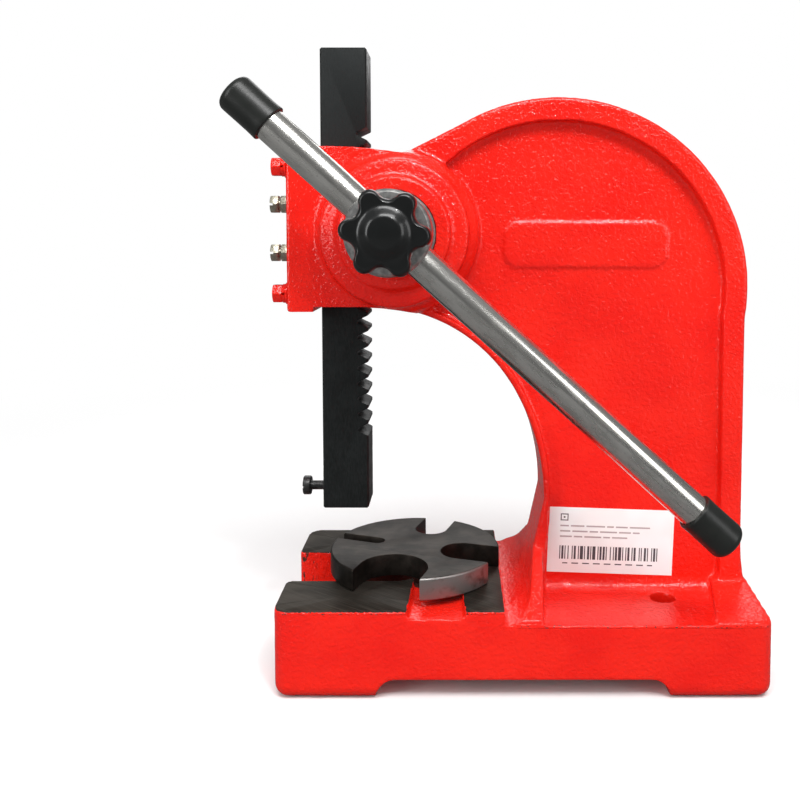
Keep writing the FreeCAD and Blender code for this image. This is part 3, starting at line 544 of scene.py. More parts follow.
def bare_metal(name, dark, light, roughness, grain=(1.0, 1.0, 1.0), turn=(0.0, 0.0, 0.0), metallic=1.0,
               depth=0.02, grain_size=0.4, blotch_size=6.0):
    """Metal with fine grain and uneven patina."""
    finish = Finish(name, light, roughness, metallic=metallic, turn=turn)
    lines = finish.noise(grain_size, detail=3.0, place=finish.stretched(grain))
    blotch = finish.noise(blotch_size, detail=4.0, roughness=0.6)
    share = finish.band(finish.math("ADD", finish.math("MULTIPLY", lines, 0.5),
                                    finish.math("MULTIPLY", blotch, 0.5)), 0.36, 0.64)
    finish.colour(finish.blend(share, dark, light))
    finish.rough(finish.between(share, roughness * 1.25, roughness * 0.8))
    finish.bump([(lines, depth), (blotch, depth)])
    return finish.material


def lever_finish():
    """Bright plating over a drawn bar: long grain, dull cloudy areas and a few small pits."""
    finish = Finish("plated_lever", (0.72, 0.71, 0.68), 0.2, metallic=1.0, turn=(0.0, -LEVER_TILT, 0.0))
    drawn = finish.noise(0.45, detail=3.0, place=finish.stretched((0.010, 1.0, 1.0)))
    mottle = finish.noise(4.0, detail=4.0, roughness=0.6, place=finish.stretched((0.22, 1.0, 1.0)))
    pits = finish.band(finish.noise(0.8, detail=2.0), 0.27, 0.33)
    dull = finish.band(mottle, 0.40, 0.66)
    tint = finish.blend(dull, (0.80, 0.79, 0.75), (0.56, 0.55, 0.52))
    finish.colour(finish.blend(pits, (0.36, 0.35, 0.33), tint))
    finish.rough(finish.between(dull, finish.between(drawn, 0.14, 0.24), finish.between(drawn, 0.26, 0.36)))
    finish.bump([(drawn, 0.012), (pits, 0.010), (mottle, 0.05)])
    return finish.material


def hub_finish():
    """Turned steel with concentric tool lines about the shaft."""
    finish = Finish("turned_steel", (0.50, 0.50, 0.50), 0.3, metallic=1.0)
    x, y, z = finish.axes()
    around = finish.node("ShaderNodeCombineXYZ")
    finish.join(axle_distance(finish, x, z), around.inputs["X"])
    finish.join(y, around.inputs["Y"])
    rings = finish.noise(0.35, detail=2.0, place=around.outputs[0])
    blotch = finish.noise(4.0, detail=4.0, roughness=0.6)
    finish.colour(finish.blend(finish.band(blotch, 0.35, 0.65), (0.34, 0.34, 0.335), (0.62, 0.615, 0.60)))
    finish.rough(finish.between(blotch, 0.42, 0.24))
    finish.bump([(rings, 0.035), (blotch, 0.01)])
    return finish.material


# stretch of the plate's rim that carries a painted highlight: its direction from +X, and the fade towards it
RIM_HIGHLIGHT_TOWARD = math.radians(300)
RIM_HIGHLIGHT_FADE_MM = (32.0, 47.0)


def plate_finish():
    """Dark phosphated iron, with a painted highlight along the rim on the front-right side, broken up by noise.
    """
    finish = Finish("phosphated_iron", (0.08, 0.07, 0.06), 0.45, metallic=0.85)
    x, y, _ = finish.axes()
    from_x = finish.math("SUBTRACT", x, PLATE_CENTRE.x / MM)
    rim = finish.band(finish.distance(from_x, y), PLATE_R / MM - 0.95, PLATE_R / MM - 0.35)
    toward = finish.math("ADD", finish.math("MULTIPLY", from_x, math.cos(RIM_HIGHLIGHT_TOWARD)),
                         finish.math("MULTIPLY", y, math.sin(RIM_HIGHLIGHT_TOWARD)))
    highlight_side = finish.band(toward, *RIM_HIGHLIGHT_FADE_MM)
    highlight_breaks = finish.band(finish.noise(7.0, detail=3.0, roughness=0.5), 0.15, 0.50)
    rim_highlight = finish.product(rim, highlight_side, highlight_breaks)
    blotch = finish.noise(11.0, detail=4.0, roughness=0.6)
    lines = finish.noise(0.4, detail=2.0, place=finish.stretched((0.05, 1.0, 1.0)))
    dark = finish.blend(finish.band(blotch, 0.35, 0.65), (0.020, 0.017, 0.014), (0.046, 0.038, 0.032))
    # painted highlight: the front-right stretch of the rim is coloured light grey
    finish.colour(finish.blend(rim_highlight, dark, (0.27, 0.26, 0.25)))
    finish.rough(finish.between(rim_highlight, finish.between(lines, 0.55, 0.36), 0.46))
    finish.bump([(lines, 0.02), (blotch, 0.03)])
    return finish.material


def black_moulding(name, colour, roughness, coat, texture_depth):
    """Moulded black plastic or vinyl."""
    finish = Finish(name, colour, roughness, coat_weight=coat, coat_roughness=0.08, specular_ior_level=0.35)
    fine = finish.noise(0.5, detail=2.0)
    soft = finish.noise(7.0, detail=2.0)
    finish.colour(finish.blend(soft, colour, tuple(c * 1.7 for c in colour)))
    finish.rough(finish.between(fine, roughness * 0.85, roughness * 1.2))
    finish.bump([(fine, texture_depth), (soft, 0.05)])
    return finish.material


def paper_finish(name, colour, roughness):
    """Coated label stock, or the ink on it."""
    finish = Finish(name, colour, roughness)
    warm = finish.noise(22.0, detail=1.0)
    fibre = finish.noise(0.4, detail=3.0)
    finish.colour(finish.blend(finish.band(warm, 0.4, 0.65, 0.0, 0.5), colour,
                               (colour[0], colour[1] * 0.9, colour[2] * 0.88)))
    finish.bump([(fibre, 0.008), (warm, 0.10)])
    return finish.material


CASTING_RED = casting_finish()
COVER_RED = painted_finish("cover_enamel", 0.10)
FASTENER_RED = painted_finish("fastener_enamel", 0.05)
ZINC = bare_metal("zinc_steel", (0.34, 0.32, 0.25), (0.60, 0.57, 0.46), 0.36, blotch_size=2.5)
GIB_STEEL = bare_metal("gib_steel", (0.26, 0.26, 0.26), (0.48, 0.48, 0.47), 0.35, grain=(1.0, 1.0, 0.04))
BLACK_OXIDE = bare_metal("black_oxide", (0.008, 0.010, 0.010), (0.020, 0.023, 0.023), 0.45,
                         grain=(1.0, 1.0, 0.15), metallic=0.5, depth=0.02, blotch_size=9.0)
SCREW_BLACK = bare_metal("screw_black", (0.03, 0.03, 0.03), (0.09, 0.09, 0.09), 0.4,
                         metallic=0.8, blotch_size=2.0)
TURNED_STEEL = hub_finish()
LEVER_PLATING = lever_finish()
PHOSPHATE = plate_finish()
VINYL = black_moulding("black_vinyl", (0.009, 0.010, 0.009), 0.34, 0.0, 0.008)
BAKELITE = black_moulding("black_bakelite", (0.003, 0.0035, 0.0035), 0.30, 0.35, 0.004)
PAPER = paper_finish("label_paper", (0.88, 0.94, 0.94), 0.42)
INK = paper_finish("label_ink", (0.06, 0.06, 0.07), 0.5)
FAINT_INK = paper_finish("label_faint_ink", (0.42, 0.38, 0.38), 0.5)


# ---------------------------------------------------------------- cast and painted pieces
def skin_over(piece, voxel, relax):
    """Even skin of small faces over a closed shape, with its edges softened."""
    remesh = piece.modifiers.new("skin", "REMESH")
    remesh.mode = "VOXEL"
    remesh.voxel_size = voxel
    remesh.use_smooth_shade = True
    soften = piece.modifiers.new("soften", "SMOOTH")
    soften.factor = 0.5
    soften.iterations = relax
    return bake_modifiers(piece)


def thin_out(piece, faces):
    """Fewer triangles, kept where the surface bends."""
    count = sum(len(polygon.vertices) - 2 for polygon in piece.data.polygons)
    if count > faces:
        thin = piece.modifiers.new("thin", "DECIMATE")
        thin.ratio = faces / count
        bake_modifiers(piece)
    piece.data.shade_smooth()
    return piece


def cast_lumps(points, seed):
    """Inward hollows of a sand casting, in millimetres."""
    broad = lattice_noise(points, 21.0 * MM, seed)
    lumps = lattice_noise(points, 7.0 * MM, seed + 1)
    small = lattice_noise(points, 3.1 * MM, seed + 2)
    height = 0.45 * broad + 0.35 * lumps + 0.22 * small
    return 0.16 * (height - 0.75)


def soften_area(piece, weights, rounds):
    """Smooth a piece further where the weights are above zero."""
    group = piece.vertex_groups.new(name="soften")
    for level in range(1, 11):
        chosen = np.nonzero(np.round(weights * 10) == level)[0]
        if len(chosen):
            group.add(chosen.tolist(), level / 10, "REPLACE")
    soften = piece.modifiers.new("soften", "SMOOTH")
    soften.factor = 0.5
    soften.iterations = rounds
    soften.vertex_group = group.name
    return bake_modifiers(piece)


# rings round the boss: radii where they begin and end, and the (X, Z) direction in which they stay crisp
RINGS_BEGIN = (26.0 * MM, 29.0 * MM)
RINGS_END = (52.0 * MM, 58.0 * MM)
RINGS_CRISP = (0.75, 0.66)
RINGS_Y = -27.0 * MM


def boss_fade(points):
    """Share by which the rings round the boss melt away, most to the left of the shaft and below it."""
    x, y, z = points.T
    reach = np.hypot(x - AXLE.x, z - AXLE.z)
    ring = smooth_step(reach, *RINGS_BEGIN) * (1.0 - smooth_step(reach, *RINGS_END))
    toward = ((x - AXLE.x) * RINGS_CRISP[0] + (z - AXLE.z) * RINGS_CRISP[1]) / np.maximum(reach, MM)
    faded = 1.0 - smooth_step(toward, -0.35, 0.35)
    inside = smooth_step(x, COVER_JOINT_X + 4 * MM, COVER_JOINT_X + 10 * MM)
    above = smooth_step(z, COVER_LOW.z + 3 * MM, COVER_LOW.z + 7 * MM)
    return np.where(y < RINGS_Y, ring * faded * inside * above, 0.0)


def flush_joint(points, depth, reach, snap):
    """Square and flush edges where the cover meets the head, so that the joint hardly shows under the paint."""
    x, y, z = points.T
    beside = np.abs(x - COVER_JOINT_X) < reach
    corner = 2 * MM
    tall = (z > COVER_LOW.z + corner) & (z < COVER_HIGH.z - corner)
    side = beside & tall & (np.abs(y) > HEAD_HALF_Y - reach)
    points[side, 1] = np.sign(y[side]) * (HEAD_HALF_Y + depth[side])
    at_joint = side & (np.abs(x - COVER_JOINT_X) < snap)
    points[at_joint, 0] = COVER_JOINT_X
    return points


CAST_SEED = 3
FASTENER_SEED = 17
FASTENER_LUMPS = 0.35  # height of a fastener's lumps beside the casting's
CREASE_DEGREES = 58


def casting():
    """Frame casting: lumpy under its paint, flat where it was machined."""
    piece = skin_over(cad_copy("frame_casting", "casting"), voxel=1.0 * MM, relax=5)
    soften_area(piece, boss_fade(points_of(piece.data)), rounds=60)
    mesh = piece.data
    points = points_of(mesh)
    normals = normals_of(mesh)
    x, y, z = points.T
    on_pad = (np.abs(z - TABLE_TOP) < 0.7 * MM) & (normals[:, 2] > 0.8) & (x < TABLE_END_X)
    on_feet = z < 1.0 * MM
    reach = np.hypot(x - AXLE.x, z - AXLE.z)
    in_bore = (reach < HUB_BORE_R) & (y > NEAR_BOSS_Y - MM)
    beside_ram = (x < RAM_HIGH.x + 0.6 * MM) & (np.abs(y) < RAM_HIGH.y + 0.6 * MM)
    in_channel = beside_ram & (z > HEAD_FLOOR_Z)
    machined = on_pad | on_feet | in_bore | in_channel
    depth = cast_lumps(points, CAST_SEED) * MM
    depth[machined] = 0.0
    points = flush_joint(points + normals * depth[:, None], depth, reach=1.6 * MM, snap=0.8 * MM)
    points[on_pad, 2] = TABLE_TOP
    points[:, 2] = np.maximum(points[:, 2], CASTING_LOW.z)
    put_points(mesh, points)
    thin_out(piece, faces=190000)
    sharpen_by_angle(piece, CREASE_DEGREES)
    return add_to_body(piece, "frame_casting", [CASTING_RED])


def cover():
    """Cast cover of the ram channel."""
    piece = skin_over(cad_copy("cover_plate", "channel_cover"), voxel=0.6 * MM, relax=2)
    points = points_of(piece.data)
    depth = cast_lumps(points, CAST_SEED) * MM
    moved = points + normals_of(piece.data) * depth[:, None]
    put_points(piece.data, flush_joint(moved, depth, reach=1.6 * MM, snap=0.5 * MM))
    thin_out(piece, faces=30000)
    sharpen_by_angle(piece, CREASE_DEGREES)
    return add_to_body(piece, "cover_plate", [COVER_RED])


def painted_fasteners():
    """Cover bolts and their washers under the same enamel."""
    for node, name, voxel in (("cover_bolts", "painted_bolts", 0.32),
                              ("cover_bolt_washers", "painted_washers", 0.25),
                              ("cover_bolt_lock_washers", "painted_lock_washers", 0.25)):
        piece = skin_over(cad_copy(node, name), voxel=voxel * MM, relax=3)
        points = points_of(piece.data)
        depth = cast_lumps(points, FASTENER_SEED) * MM * FASTENER_LUMPS
        put_points(piece.data, points + normals_of(piece.data) * depth[:, None])
        thin_out(piece, faces=24000)
        add_to_body(piece, node, [FASTENER_RED])


# ---------------------------------------------------------------- machined pieces
def machined_pieces():
    """Turned, milled and ground pieces: width of the broken edge in millimetres, and its steps."""
    for node, name, width, segments, slot, finish in (
            ("gib_strip", "gib", 0.3, 2, "gib_steel", GIB_STEEL),
            ("upper_adjusting_screw", "adjuster_upper", 0.2, 2, "zinc_steel", ZINC),
            ("lower_adjusting_screw", "adjuster_lower", 0.2, 2, "zinc_steel", ZINC),
            ("upper_lock_nut", "nut_upper", 0.2, 2, "zinc_steel", ZINC),
            ("lower_lock_nut", "nut_lower", 0.2, 2, "zinc_steel", ZINC),
            ("tool_clamp_screw", "tool_screw", 0.15, 2, "blackened_steel", SCREW_BLACK),
            ("pinion_shaft", "pinion_and_hub", 0.15, 2, "turned_steel", TURNED_STEEL),
            ("shaft_end_washer", "end_washer", 0.15, 2, "turned_steel", TURNED_STEEL),
            ("shaft_end_bolt", "end_bolt", 0.2, 2, "zinc_steel", ZINC),
            ("knob_stud", "stud", 0.15, 2, "turned_steel", TURNED_STEEL),
            ("ram", "rack_ram", 0.35, 3, "blackened_steel", BLACK_OXIDE),
            ("arbor_plate", "slotted_plate", 0.3, 3, "phosphated_iron", PHOSPHATE)):
        piece = edged_copy(node, name, width * MM, segments)
        add_to_body(piece, node, [finish])


LEVER_CHAMFER = 1.0 * MM
LEVER_STEPS = 60
CAP_R = 10.4 * MM
CAP_LENGTH = 26.0 * MM
CAP_WALL = 2.0 * MM
CAP_DOME = 4.0 * MM
CAP_LIP = 0.8 * MM
CAP_SLACK = 0.05 * MM
# (distance from the mouth, depth under the full radius) along the slight waist
CAP_WAIST = ((2.6 * MM, 0.12 * MM), (6.0 * MM, 0.25 * MM), (13.0 * MM, 0.2 * MM))


def lever():
    """Drawn bar with chamfered ends, and its two pushed-on caps."""
    low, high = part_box("lever_bar")
    centre = middle("lever_bar")
    half = (high.x - low.x - 2 * LEVER_R * math.sin(LEVER_TILT)) / 2 / math.cos(LEVER_TILT)
    reach = half + CAP_WALL - CAP_LENGTH
    straight = half - LEVER_CHAMFER
    profile = [(-half, 0.0), (-half, LEVER_R - LEVER_CHAMFER)]
    for i in range(LEVER_STEPS + 1):
        profile.append((-straight + 2 * straight * i / LEVER_STEPS, LEVER_R))
    profile += [(half, LEVER_R - LEVER_CHAMFER), (half, 0.0)]
    bar = face_outward(turned("lever_rod", centre, LEVER_DIRECTION, profile, segments=128))
    sharpen_by_angle(bar, 30)
    add_to_body(bar, "lever_bar", [LEVER_PLATING])
    for node, name, direction in (("upper_lever_cap", "cap_upper", -LEVER_DIRECTION),
                                  ("lower_lever_cap", "cap_lower", LEVER_DIRECTION)):
        cap(node, name, centre + direction * reach, direction)


def cap(node, name, mouth, direction):
    """Dipped vinyl cap: rounded end, slight waist and a rolled mouth, from its mouth outward."""
    inner = LEVER_R + CAP_SLACK
    dome_r = CAP_R - CAP_DOME
    profile = [(CAP_LENGTH - CAP_WALL, 0.0), (CAP_LENGTH - CAP_WALL, inner), (0.3 * MM, inner)]
    profile += arc_points((CAP_LIP, CAP_R - CAP_LIP), CAP_LIP, 200, 90, 6)
    profile += [(distance, CAP_R - depth) for distance, depth in CAP_WAIST]
    profile += arc_points((CAP_LENGTH - CAP_DOME, dome_r - 0.1 * MM), CAP_DOME, 90, 12, 12)
    profile += [(CAP_LENGTH - 0.05 * MM, dome_r - 1.0 * MM), (CAP_LENGTH, 0.0)]
    piece = face_outward(turned(name, mouth, direction, profile))
    sharpen_by_angle(piece, 50)
    return add_to_body(piece, node, [VINYL])


KNOB_LOBES = 6
KNOB_R = 22.5 * MM
KNOB_VALLEY_R = 16.4 * MM
KNOB_LOBE_R = 5.5 * MM
KNOB_PHASE = math.radians(-5.0)
KNOB_BORE_R = 5.05 * MM
KNOB_SWELL_R = 13.8 * MM
KNOB_CROWN_R = 7.0 * MM
KNOB_BOSS_R = 9.5 * MM
KNOB_BOSS_CHAMFER = 0.6 * MM
# behind the middle of the front: the rim's two sides, the crown's edge and the end of the bore
KNOB_RIM_BACK = 18.0 * MM
KNOB_RIM_FRONT = 4.0 * MM
KNOB_CROWN_DROP = 0.3 * MM
KNOB_BORE_END = 6.0 * MM
KNOB_EDGE_R = 2.6 * MM
KNOB_STEP = 3.4 * MM  # inset of the rings where the flat of the lobes ends


def lobe_radius(angle):
    """Outer radius of the knob at an angle: round lobes joined by round valleys."""
    step = 2 * math.pi / KNOB_LOBES
    from_lobe = abs((angle - KNOB_PHASE + step / 2) % step - step / 2)
    from_valley = step / 2 - from_lobe
    lobe_distance = KNOB_R - KNOB_LOBE_R
    across = math.cos(step / 2) * lobe_distance
    valley_r = lobe_distance ** 2 + KNOB_VALLEY_R ** 2 - 2 * across * KNOB_VALLEY_R - KNOB_LOBE_R ** 2
    valley_r = valley_r / (2 * (KNOB_LOBE_R + across - KNOB_VALLEY_R))
    valley_distance = KNOB_VALLEY_R + valley_r
    share = KNOB_LOBE_R / (KNOB_LOBE_R + valley_r)
    touch_x = lobe_distance + (valley_distance * math.cos(step / 2) - lobe_distance) * share
    touch_y = valley_distance * math.sin(step / 2) * share
    if from_lobe < math.atan2(touch_y, touch_x):
        reach = math.sqrt(KNOB_LOBE_R ** 2 - (lobe_distance * math.sin(from_lobe)) ** 2)
        return lobe_distance * math.cos(from_lobe) + reach
    reach = math.sqrt(valley_r ** 2 - (valley_distance * math.sin(from_valley)) ** 2)
    return valley_distance * math.cos(from_valley) - reach


def knob_rings(back, front):
    """(kind, size, y) rings from the boss behind, round the rim, to the middle of the front.

    "lobes" rings keep a distance inside the outline, "round" rings are circles of a radius, and
    "mixed" rings lie between the two by a share of the lobes."""
    rim_back = front + KNOB_RIM_BACK
    rim_front = front + KNOB_RIM_FRONT
    rings = [("round", KNOB_BORE_R, back), ("round", KNOB_BOSS_R - KNOB_BOSS_CHAMFER, back),
             ("round", KNOB_BOSS_R, back - KNOB_BOSS_CHAMFER), ("round", KNOB_BOSS_R, rim_back + 0.4 * MM),
             ("lobes", 6.6 * MM, rim_back), ("lobes", KNOB_STEP, rim_back)]
    for i in range(9):
        angle = math.radians(90 * i / 8)
        inset = KNOB_EDGE_R * (1 - math.sin(angle))
        rings.append(("lobes", inset, rim_back - KNOB_EDGE_R * (1 - math.cos(angle))))
    for i in range(13):
        angle = math.radians(90 * i / 12)
        depth = KNOB_EDGE_R * 1.5
        rings.append(("lobes", KNOB_EDGE_R * (1 - math.cos(angle)), rim_front + depth * (1 - math.sin(angle))))
    # from the lobes the front swells in one smooth S to a small, nearly flat crown
    rings += [("lobes", KNOB_STEP, rim_front), ("mixed", 0.5, rim_front)]
    crown_y = front + KNOB_CROWN_DROP
    for i in range(17):
        share = i / 16
        radius = KNOB_SWELL_R + (KNOB_CROWN_R - KNOB_SWELL_R) * share
        rings.append(("round", radius, rim_front + (crown_y - rim_front) * share * share * (3 - 2 * share)))
    for share in (0.8, 0.6, 0.4, 0.2):
        rings.append(("round", KNOB_CROWN_R * share, front + (crown_y - front) * share ** 2))
    return rings


def knob():
    """Six-lobed moulded knob with a raised, slightly domed disc in front."""
    low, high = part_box("star_knob")
    back, front = high.y, low.y
    rings = knob_rings(back, front)
    count = KNOB_LOBES * 24
    vertices = []

    def ring_at(y, radius_at):
        start = len(vertices)
        for i in range(count):
            angle = 2 * math.pi * i / count
            radius = radius_at(angle)
            vertices.append((AXLE.x + radius * math.cos(angle), y, AXLE.z + radius * math.sin(angle)))
        return start

    starts = []
    for kind, size, y in rings:
        if kind == "lobes":
            starts.append(ring_at(y, lambda angle, inset=size: lobe_radius(angle) - inset))
        elif kind == "mixed":
            starts.append(ring_at(y, lambda angle, share=size: share * (lobe_radius(angle) - KNOB_STEP)
                                  + (1 - share) * KNOB_SWELL_R))
        else:
            starts.append(ring_at(y, lambda angle, radius=size: radius))
    floor_y = front + KNOB_BORE_END
    bore_end = ring_at(floor_y, lambda angle: KNOB_BORE_R)
    faces = []
    for first, second in list(zip(starts, starts[1:])) + [(starts[0], bore_end)]:
        for i in range(count):
            j = (i + 1) % count
            faces.append((first + i, first + j, second + j, second + i))
    for start, y in ((starts[-1], front), (bore_end, floor_y)):
        centre = len(vertices)
        vertices.append((AXLE.x, y, AXLE.z))
        for i in range(count):
            faces.append((start + i, start + (i + 1) % count, centre))
    piece = face_outward(mesh_from("star_handle", vertices, faces))
    sharpen_by_angle(piece, 60)
    return add_to_body(piece, "star_knob", [BAKELITE])


# ---------------------------------------------------------------- label
LABEL_SIZE = (74.0 * MM, 39.0 * MM)
LABEL_TILT = math.radians(2.0)
# layout of the label in millimetres: bars, rows of words above them and a broken line below
MARGIN = 7.0
BARS_WIDTH = 58.0
BARS_Z = (8.0, 16.0)
WORD_HEIGHT = 0.9
WORD_GAP = 1.2
WORD_ROWS = ((27.5, (5, 8, 11, 4, 7, 12)), (24.3, (6, 9, 5, 10, 7, 4)), (21.1, (7, 5, 10, 4, 9)))
DASH_Z = (5.2, 5.9)
DASH_GAP = 2.4
DASHES = (3, 4, 4, 4, 4, 4, 4, 4, 3)
# (x0, x1, z0, z1) of the four sides and the middle of a hollow square
SQUARE = ((7.0, 11.6, 34.6, 35.2), (7.0, 11.6, 31.0, 31.6), (7.0, 7.6, 31.0, 35.2),
          (11.0, 11.6, 31.0, 35.2), (8.8, 9.8, 32.6, 33.6))
PAPER_INDEX, INK_INDEX, FAINT_INDEX = range(3)
# generic bar code: widths of bars and gaps, in units
BAR_UNITS = (1, 1, 2, 1, 1, 2, 1, 3, 1, 1, 2, 2, 1, 1, 3, 1, 1, 2, 2, 1, 1, 1, 3, 2, 1, 1, 2, 1, 2, 1, 1, 3,
             1, 2, 1, 1, 2, 1, 3, 1, 1, 2, 1, 1, 2, 2, 1, 1, 2, 3, 1, 1, 1, 2, 2, 1, 1, 3, 1, 1, 2, 1, 1)


def print_marks():
    """(x0, x1, z0, z1, ink) rectangles on the label from its lower left corner, in millimetres."""
    marks = []
    unit = BARS_WIDTH / sum(BAR_UNITS)
    x = MARGIN
    for i, width in enumerate(BAR_UNITS):
        if i % 2 == 0:
            marks.append((x, x + width * unit, *BARS_Z, INK_INDEX))
        x += width * unit
    # three rows of short bars stand for lines of small print
    for z, words in WORD_ROWS:
        x = MARGIN
        for word in words:
            marks.append((x, x + word, z, z + WORD_HEIGHT, FAINT_INDEX))
            x += word + WORD_GAP
    # a broken line under the bars, and a hollow square where a mark would be
    x = MARGIN + 2.0
    for width in DASHES:
        marks.append((x, x + width, *DASH_Z, INK_INDEX))
        x += width + DASH_GAP
    marks += [(*side, INK_INDEX) for side in SQUARE]
    return marks


def label():
    """Paper label whose printed bars are faces of its own front."""
    low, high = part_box("info_label")
    front, back = low.y, high.y
    marks = print_marks()
    width, height = LABEL_SIZE[0] / MM, LABEL_SIZE[1] / MM
    columns = sorted({0.0, width} | {round(m[0], 4) for m in marks} | {round(m[1], 4) for m in marks})
    rows = sorted({0.0, height} | {round(m[2], 4) for m in marks} | {round(m[3], 4) for m in marks})
    turn = Matrix.Rotation(LABEL_TILT, 3, "Y")
    centre = middle("info_label")

    def place(u, v, y):
        flat = Vector(((u - width / 2) * MM, 0, (v - height / 2) * MM))
        spot = turn @ flat + centre
        return (spot.x, y, spot.z)

    vertices = [place(u, v, front) for v in rows for u in columns]
    across = len(columns)
    faces = []
    inks = []
    for r in range(len(rows) - 1):
        for c in range(across - 1):
            u = (columns[c] + columns[c + 1]) / 2
            v = (rows[r] + rows[r + 1]) / 2
            ink = PAPER_INDEX
            for x0, x1, z0, z1, kind in marks:
                if x0 < u < x1 and z0 < v < z1:
                    ink = kind
            faces.append((r * across + c, r * across + c + 1, (r + 1) * across + c + 1, (r + 1) * across + c))
            inks.append(ink)
    corners = [place(0, 0, back), place(width, 0, back), place(width, height, back), place(0, height, back)]
    start = len(vertices)
    vertices += corners
    faces.append((start + 3, start + 2, start + 1, start))
    bottom = list(range(across))
    top = [(len(rows) - 1) * across + c for c in range(across)]
    left = [r * across for r in range(len(rows))]
    right = [r * across + across - 1 for r in range(len(rows))]
    faces.append(tuple(reversed(bottom)) + (start, start + 1))
    faces.append(tuple(top) + (start + 2, start + 3))
    faces.append(tuple(left) + (start + 3, start))
    faces.append(tuple(reversed(right)) + (start + 1, start + 2))
    piece = face_outward(mesh_from("paper_label", vertices, faces))
    add_to_body(piece, "info_label", [PAPER, INK, FAINT_INK])
    for i, ink in enumerate(inks):
        piece.data.polygons[i].material_index = ink
    return piece


casting()
cover()
painted_fasteners()
machined_pieces()
lever()
knob()
label()


# ---------------------------------------------------------------- floor, light and camera
def grey(level):
    """Neutral colour."""
    return (level, level, level)


FLOOR_SIZE = 8.0
FLOOR_STEPS = 8
FLOOR_Z = -0.2 * MM
FLOOR_FADE_MM = (350.0, 1100.0)
# how bright the floor is to the camera, in diffuse light and in reflections
FLOOR_SEEN = 0.93
FLOOR_DIFFUSE = 0.42
FLOOR_MIRRORED = 0.14


def floor():
    """Pale matt floor that runs out into the white of the room, and throws little of it back."""
    spots = [FLOOR_SIZE * (i / FLOOR_STEPS - 0.5) for i in range(FLOOR_STEPS + 1)]
    vertices = [(x, y, FLOOR_Z) for x in spots for y in spots]
    across = len(spots)
    faces = []
    for i in range(FLOOR_STEPS):
        for j in range(FLOOR_STEPS):
            a = i * across + j
            faces.append((a, a + across, a + across + 1, a + 1))
    piece = mesh_from("floor", vertices, faces)
    finish = Finish("floor_paper", grey(0.88), 0.8, specular_ior_level=0.0)
    x, y, _ = finish.axes()
    far = finish.band(finish.distance(x, y), *FLOOR_FADE_MM)
    ray = finish.node("ShaderNodeLightPath")
    seen = ray.outputs["Is Camera Ray"]
    thrown = finish.blend(ray.outputs["Is Glossy Ray"], grey(FLOOR_DIFFUSE), grey(FLOOR_MIRRORED))
    near_colour = finish.blend(seen, thrown, grey(FLOOR_SEEN))
    finish.colour(finish.blend(far, near_colour, grey(0.0)))
    finish.shader.inputs["Emission Color"].default_value = (1.0, 1.0, 1.0, 1.0)
    glow = finish.product(far, finish.between(seen, 0.25, 1.0))
    finish.join(glow, finish.shader.inputs["Emission Strength"])
    finish.bump([(finish.noise(3.0, detail=2.0), 0.02)])
    piece.data.materials.append(finish.material)


def area_light(name, place, target, size, watts, shine):
    """Rectangular soft light aimed at a point."""
    data = bpy.data.lights.new(name, "AREA")
    data.shape = "RECTANGLE"
    data.size, data.size_y = size
    data.energy = watts
    data.specular_factor = shine
    lamp = bpy.data.objects.new(name, data)
    bpy.context.collection.objects.link(lamp)
    lamp.location = place
    lamp.rotation_mode = "QUATERNION"
    lamp.rotation_quaternion = (Vector(target) - Vector(place)).to_track_quat("-Z", "Y")


def ray_strength(tree, height, low, high):
    """Brightness of the room for one kind of ray, rising from low underfoot to high overhead."""
    rise = tree.nodes.new("ShaderNodeMapRange")
    rise.inputs["From Min"].default_value = -0.3
    rise.inputs["From Max"].default_value = 0.9
    rise.inputs["To Min"].default_value = low
    rise.inputs["To Max"].default_value = high
    tree.links.new(height, rise.inputs["Value"])
    return rise.outputs["Result"]


def choose(tree, share, first, second):
    """First or second number, by a share of 0 or 1."""
    node = tree.nodes.new("ShaderNodeMix")
    node.data_type = "FLOAT"
    tree.links.new(share, node.inputs["Factor"])
    for value, socket in ((first, node.inputs[2]), (second, node.inputs[3])):
        if isinstance(value, bpy.types.NodeSocket):
            tree.links.new(value, socket)
        else:
            socket.default_value = value
    return node.outputs[0]


# brightness of the room underfoot and overhead
SOFT_ROOM = (0.22, 0.56)
MIRRORED_ROOM = (0.03, 0.30)
LIGHT_TARGET = (BASE_X, 0.0, 0.18)
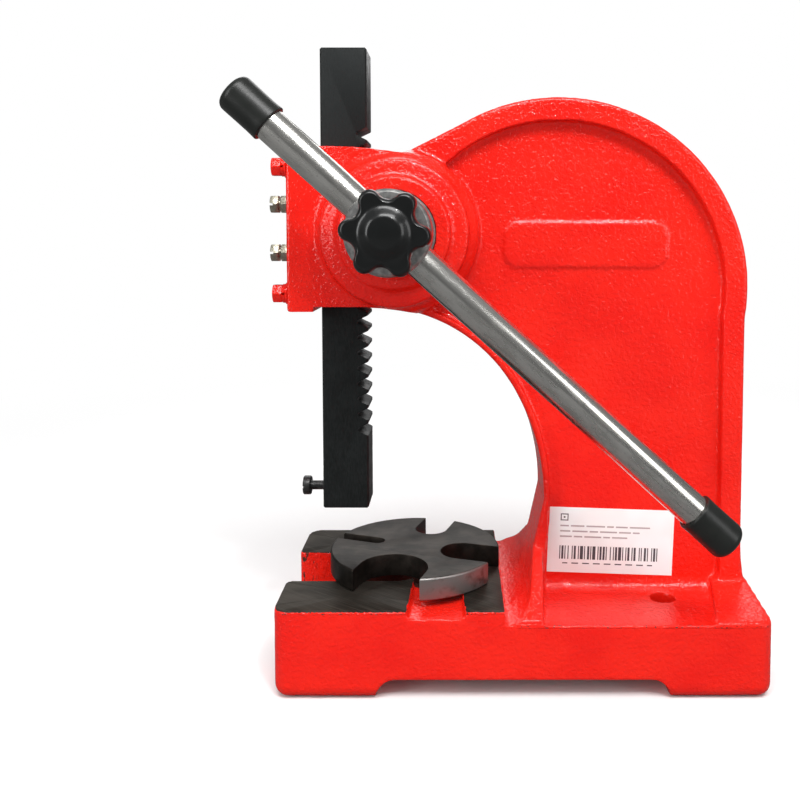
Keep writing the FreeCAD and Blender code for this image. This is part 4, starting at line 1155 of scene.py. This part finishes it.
# name, place from the middle of the base, size, watts, share that shows in reflections
LIGHTS = (
    ("top_box", (0.05, -0.60, 1.10), (0.8, 0.4), 10.0, 1.0),
    ("left_box", (-0.95, -0.75, 0.55), (0.4, 0.8), 5.6, 0.2),
    ("right_box", (1.0, -0.7, 0.5), (0.4, 0.8), 3.0, 1.0),
    ("spark", (0.25, -0.8, 1.0), (0.05, 0.05), 2.4, 1.0),
    ("back_box", (0.0, 1.1, 0.9), (1.2, 0.7), 6.0, 1.0),
)


def studio():
    """White room for the eye, grey for diffuse light and darker still in reflections, with soft boxes."""
    world = bpy.data.worlds.new("studio")
    bpy.context.scene.world = world
    world.use_nodes = True
    tree = world.node_tree
    background = tree.nodes["Background"]
    direction = tree.nodes.new("ShaderNodeTexCoord")
    split = tree.nodes.new("ShaderNodeSeparateXYZ")
    tree.links.new(direction.outputs["Generated"], split.inputs[0])
    height = split.outputs["Z"]
    ray = tree.nodes.new("ShaderNodeLightPath")
    soft = ray_strength(tree, height, *SOFT_ROOM)
    mirrored = ray_strength(tree, height, *MIRRORED_ROOM)
    strength = choose(tree, ray.outputs["Is Glossy Ray"], soft, mirrored)
    strength = choose(tree, ray.outputs["Is Camera Ray"], strength, 1.0)
    tree.links.new(strength, background.inputs["Strength"])
    background.inputs["Color"].default_value = (1.0, 1.0, 1.0, 1.0)
    for name, (x, y, z), size, watts, shine in LIGHTS:
        area_light(name, (BASE_X + x, y, z), LIGHT_TARGET, size, watts, shine)


CAMERA_PLACE = (BASE_X - 0.0375, -0.5073, 0.2509)
CAMERA_PITCH = math.radians(3.17)
CAMERA_YAW = math.radians(0.1)


def camera():
    """Camera at the height of the ram head, a little left of the middle."""
    data = bpy.data.cameras.new("camera")
    data.lens = 38.29
    data.sensor_width = 36.0
    data.shift_x = -0.069
    data.shift_y = -0.15
    data.clip_start = 0.02
    lens = bpy.data.objects.new("camera", data)
    bpy.context.collection.objects.link(lens)
    lens.location = CAMERA_PLACE
    level = math.cos(CAMERA_PITCH)
    aim = Vector((math.sin(CAMERA_YAW) * level, math.cos(CAMERA_YAW) * level, -math.sin(CAMERA_PITCH)))
    lens.rotation_mode = "QUATERNION"
    lens.rotation_quaternion = aim.to_track_quat("-Z", "Y")
    bpy.context.scene.camera = lens


floor()
studio()
camera()
bpy.context.scene.view_settings.view_transform = "Standard"
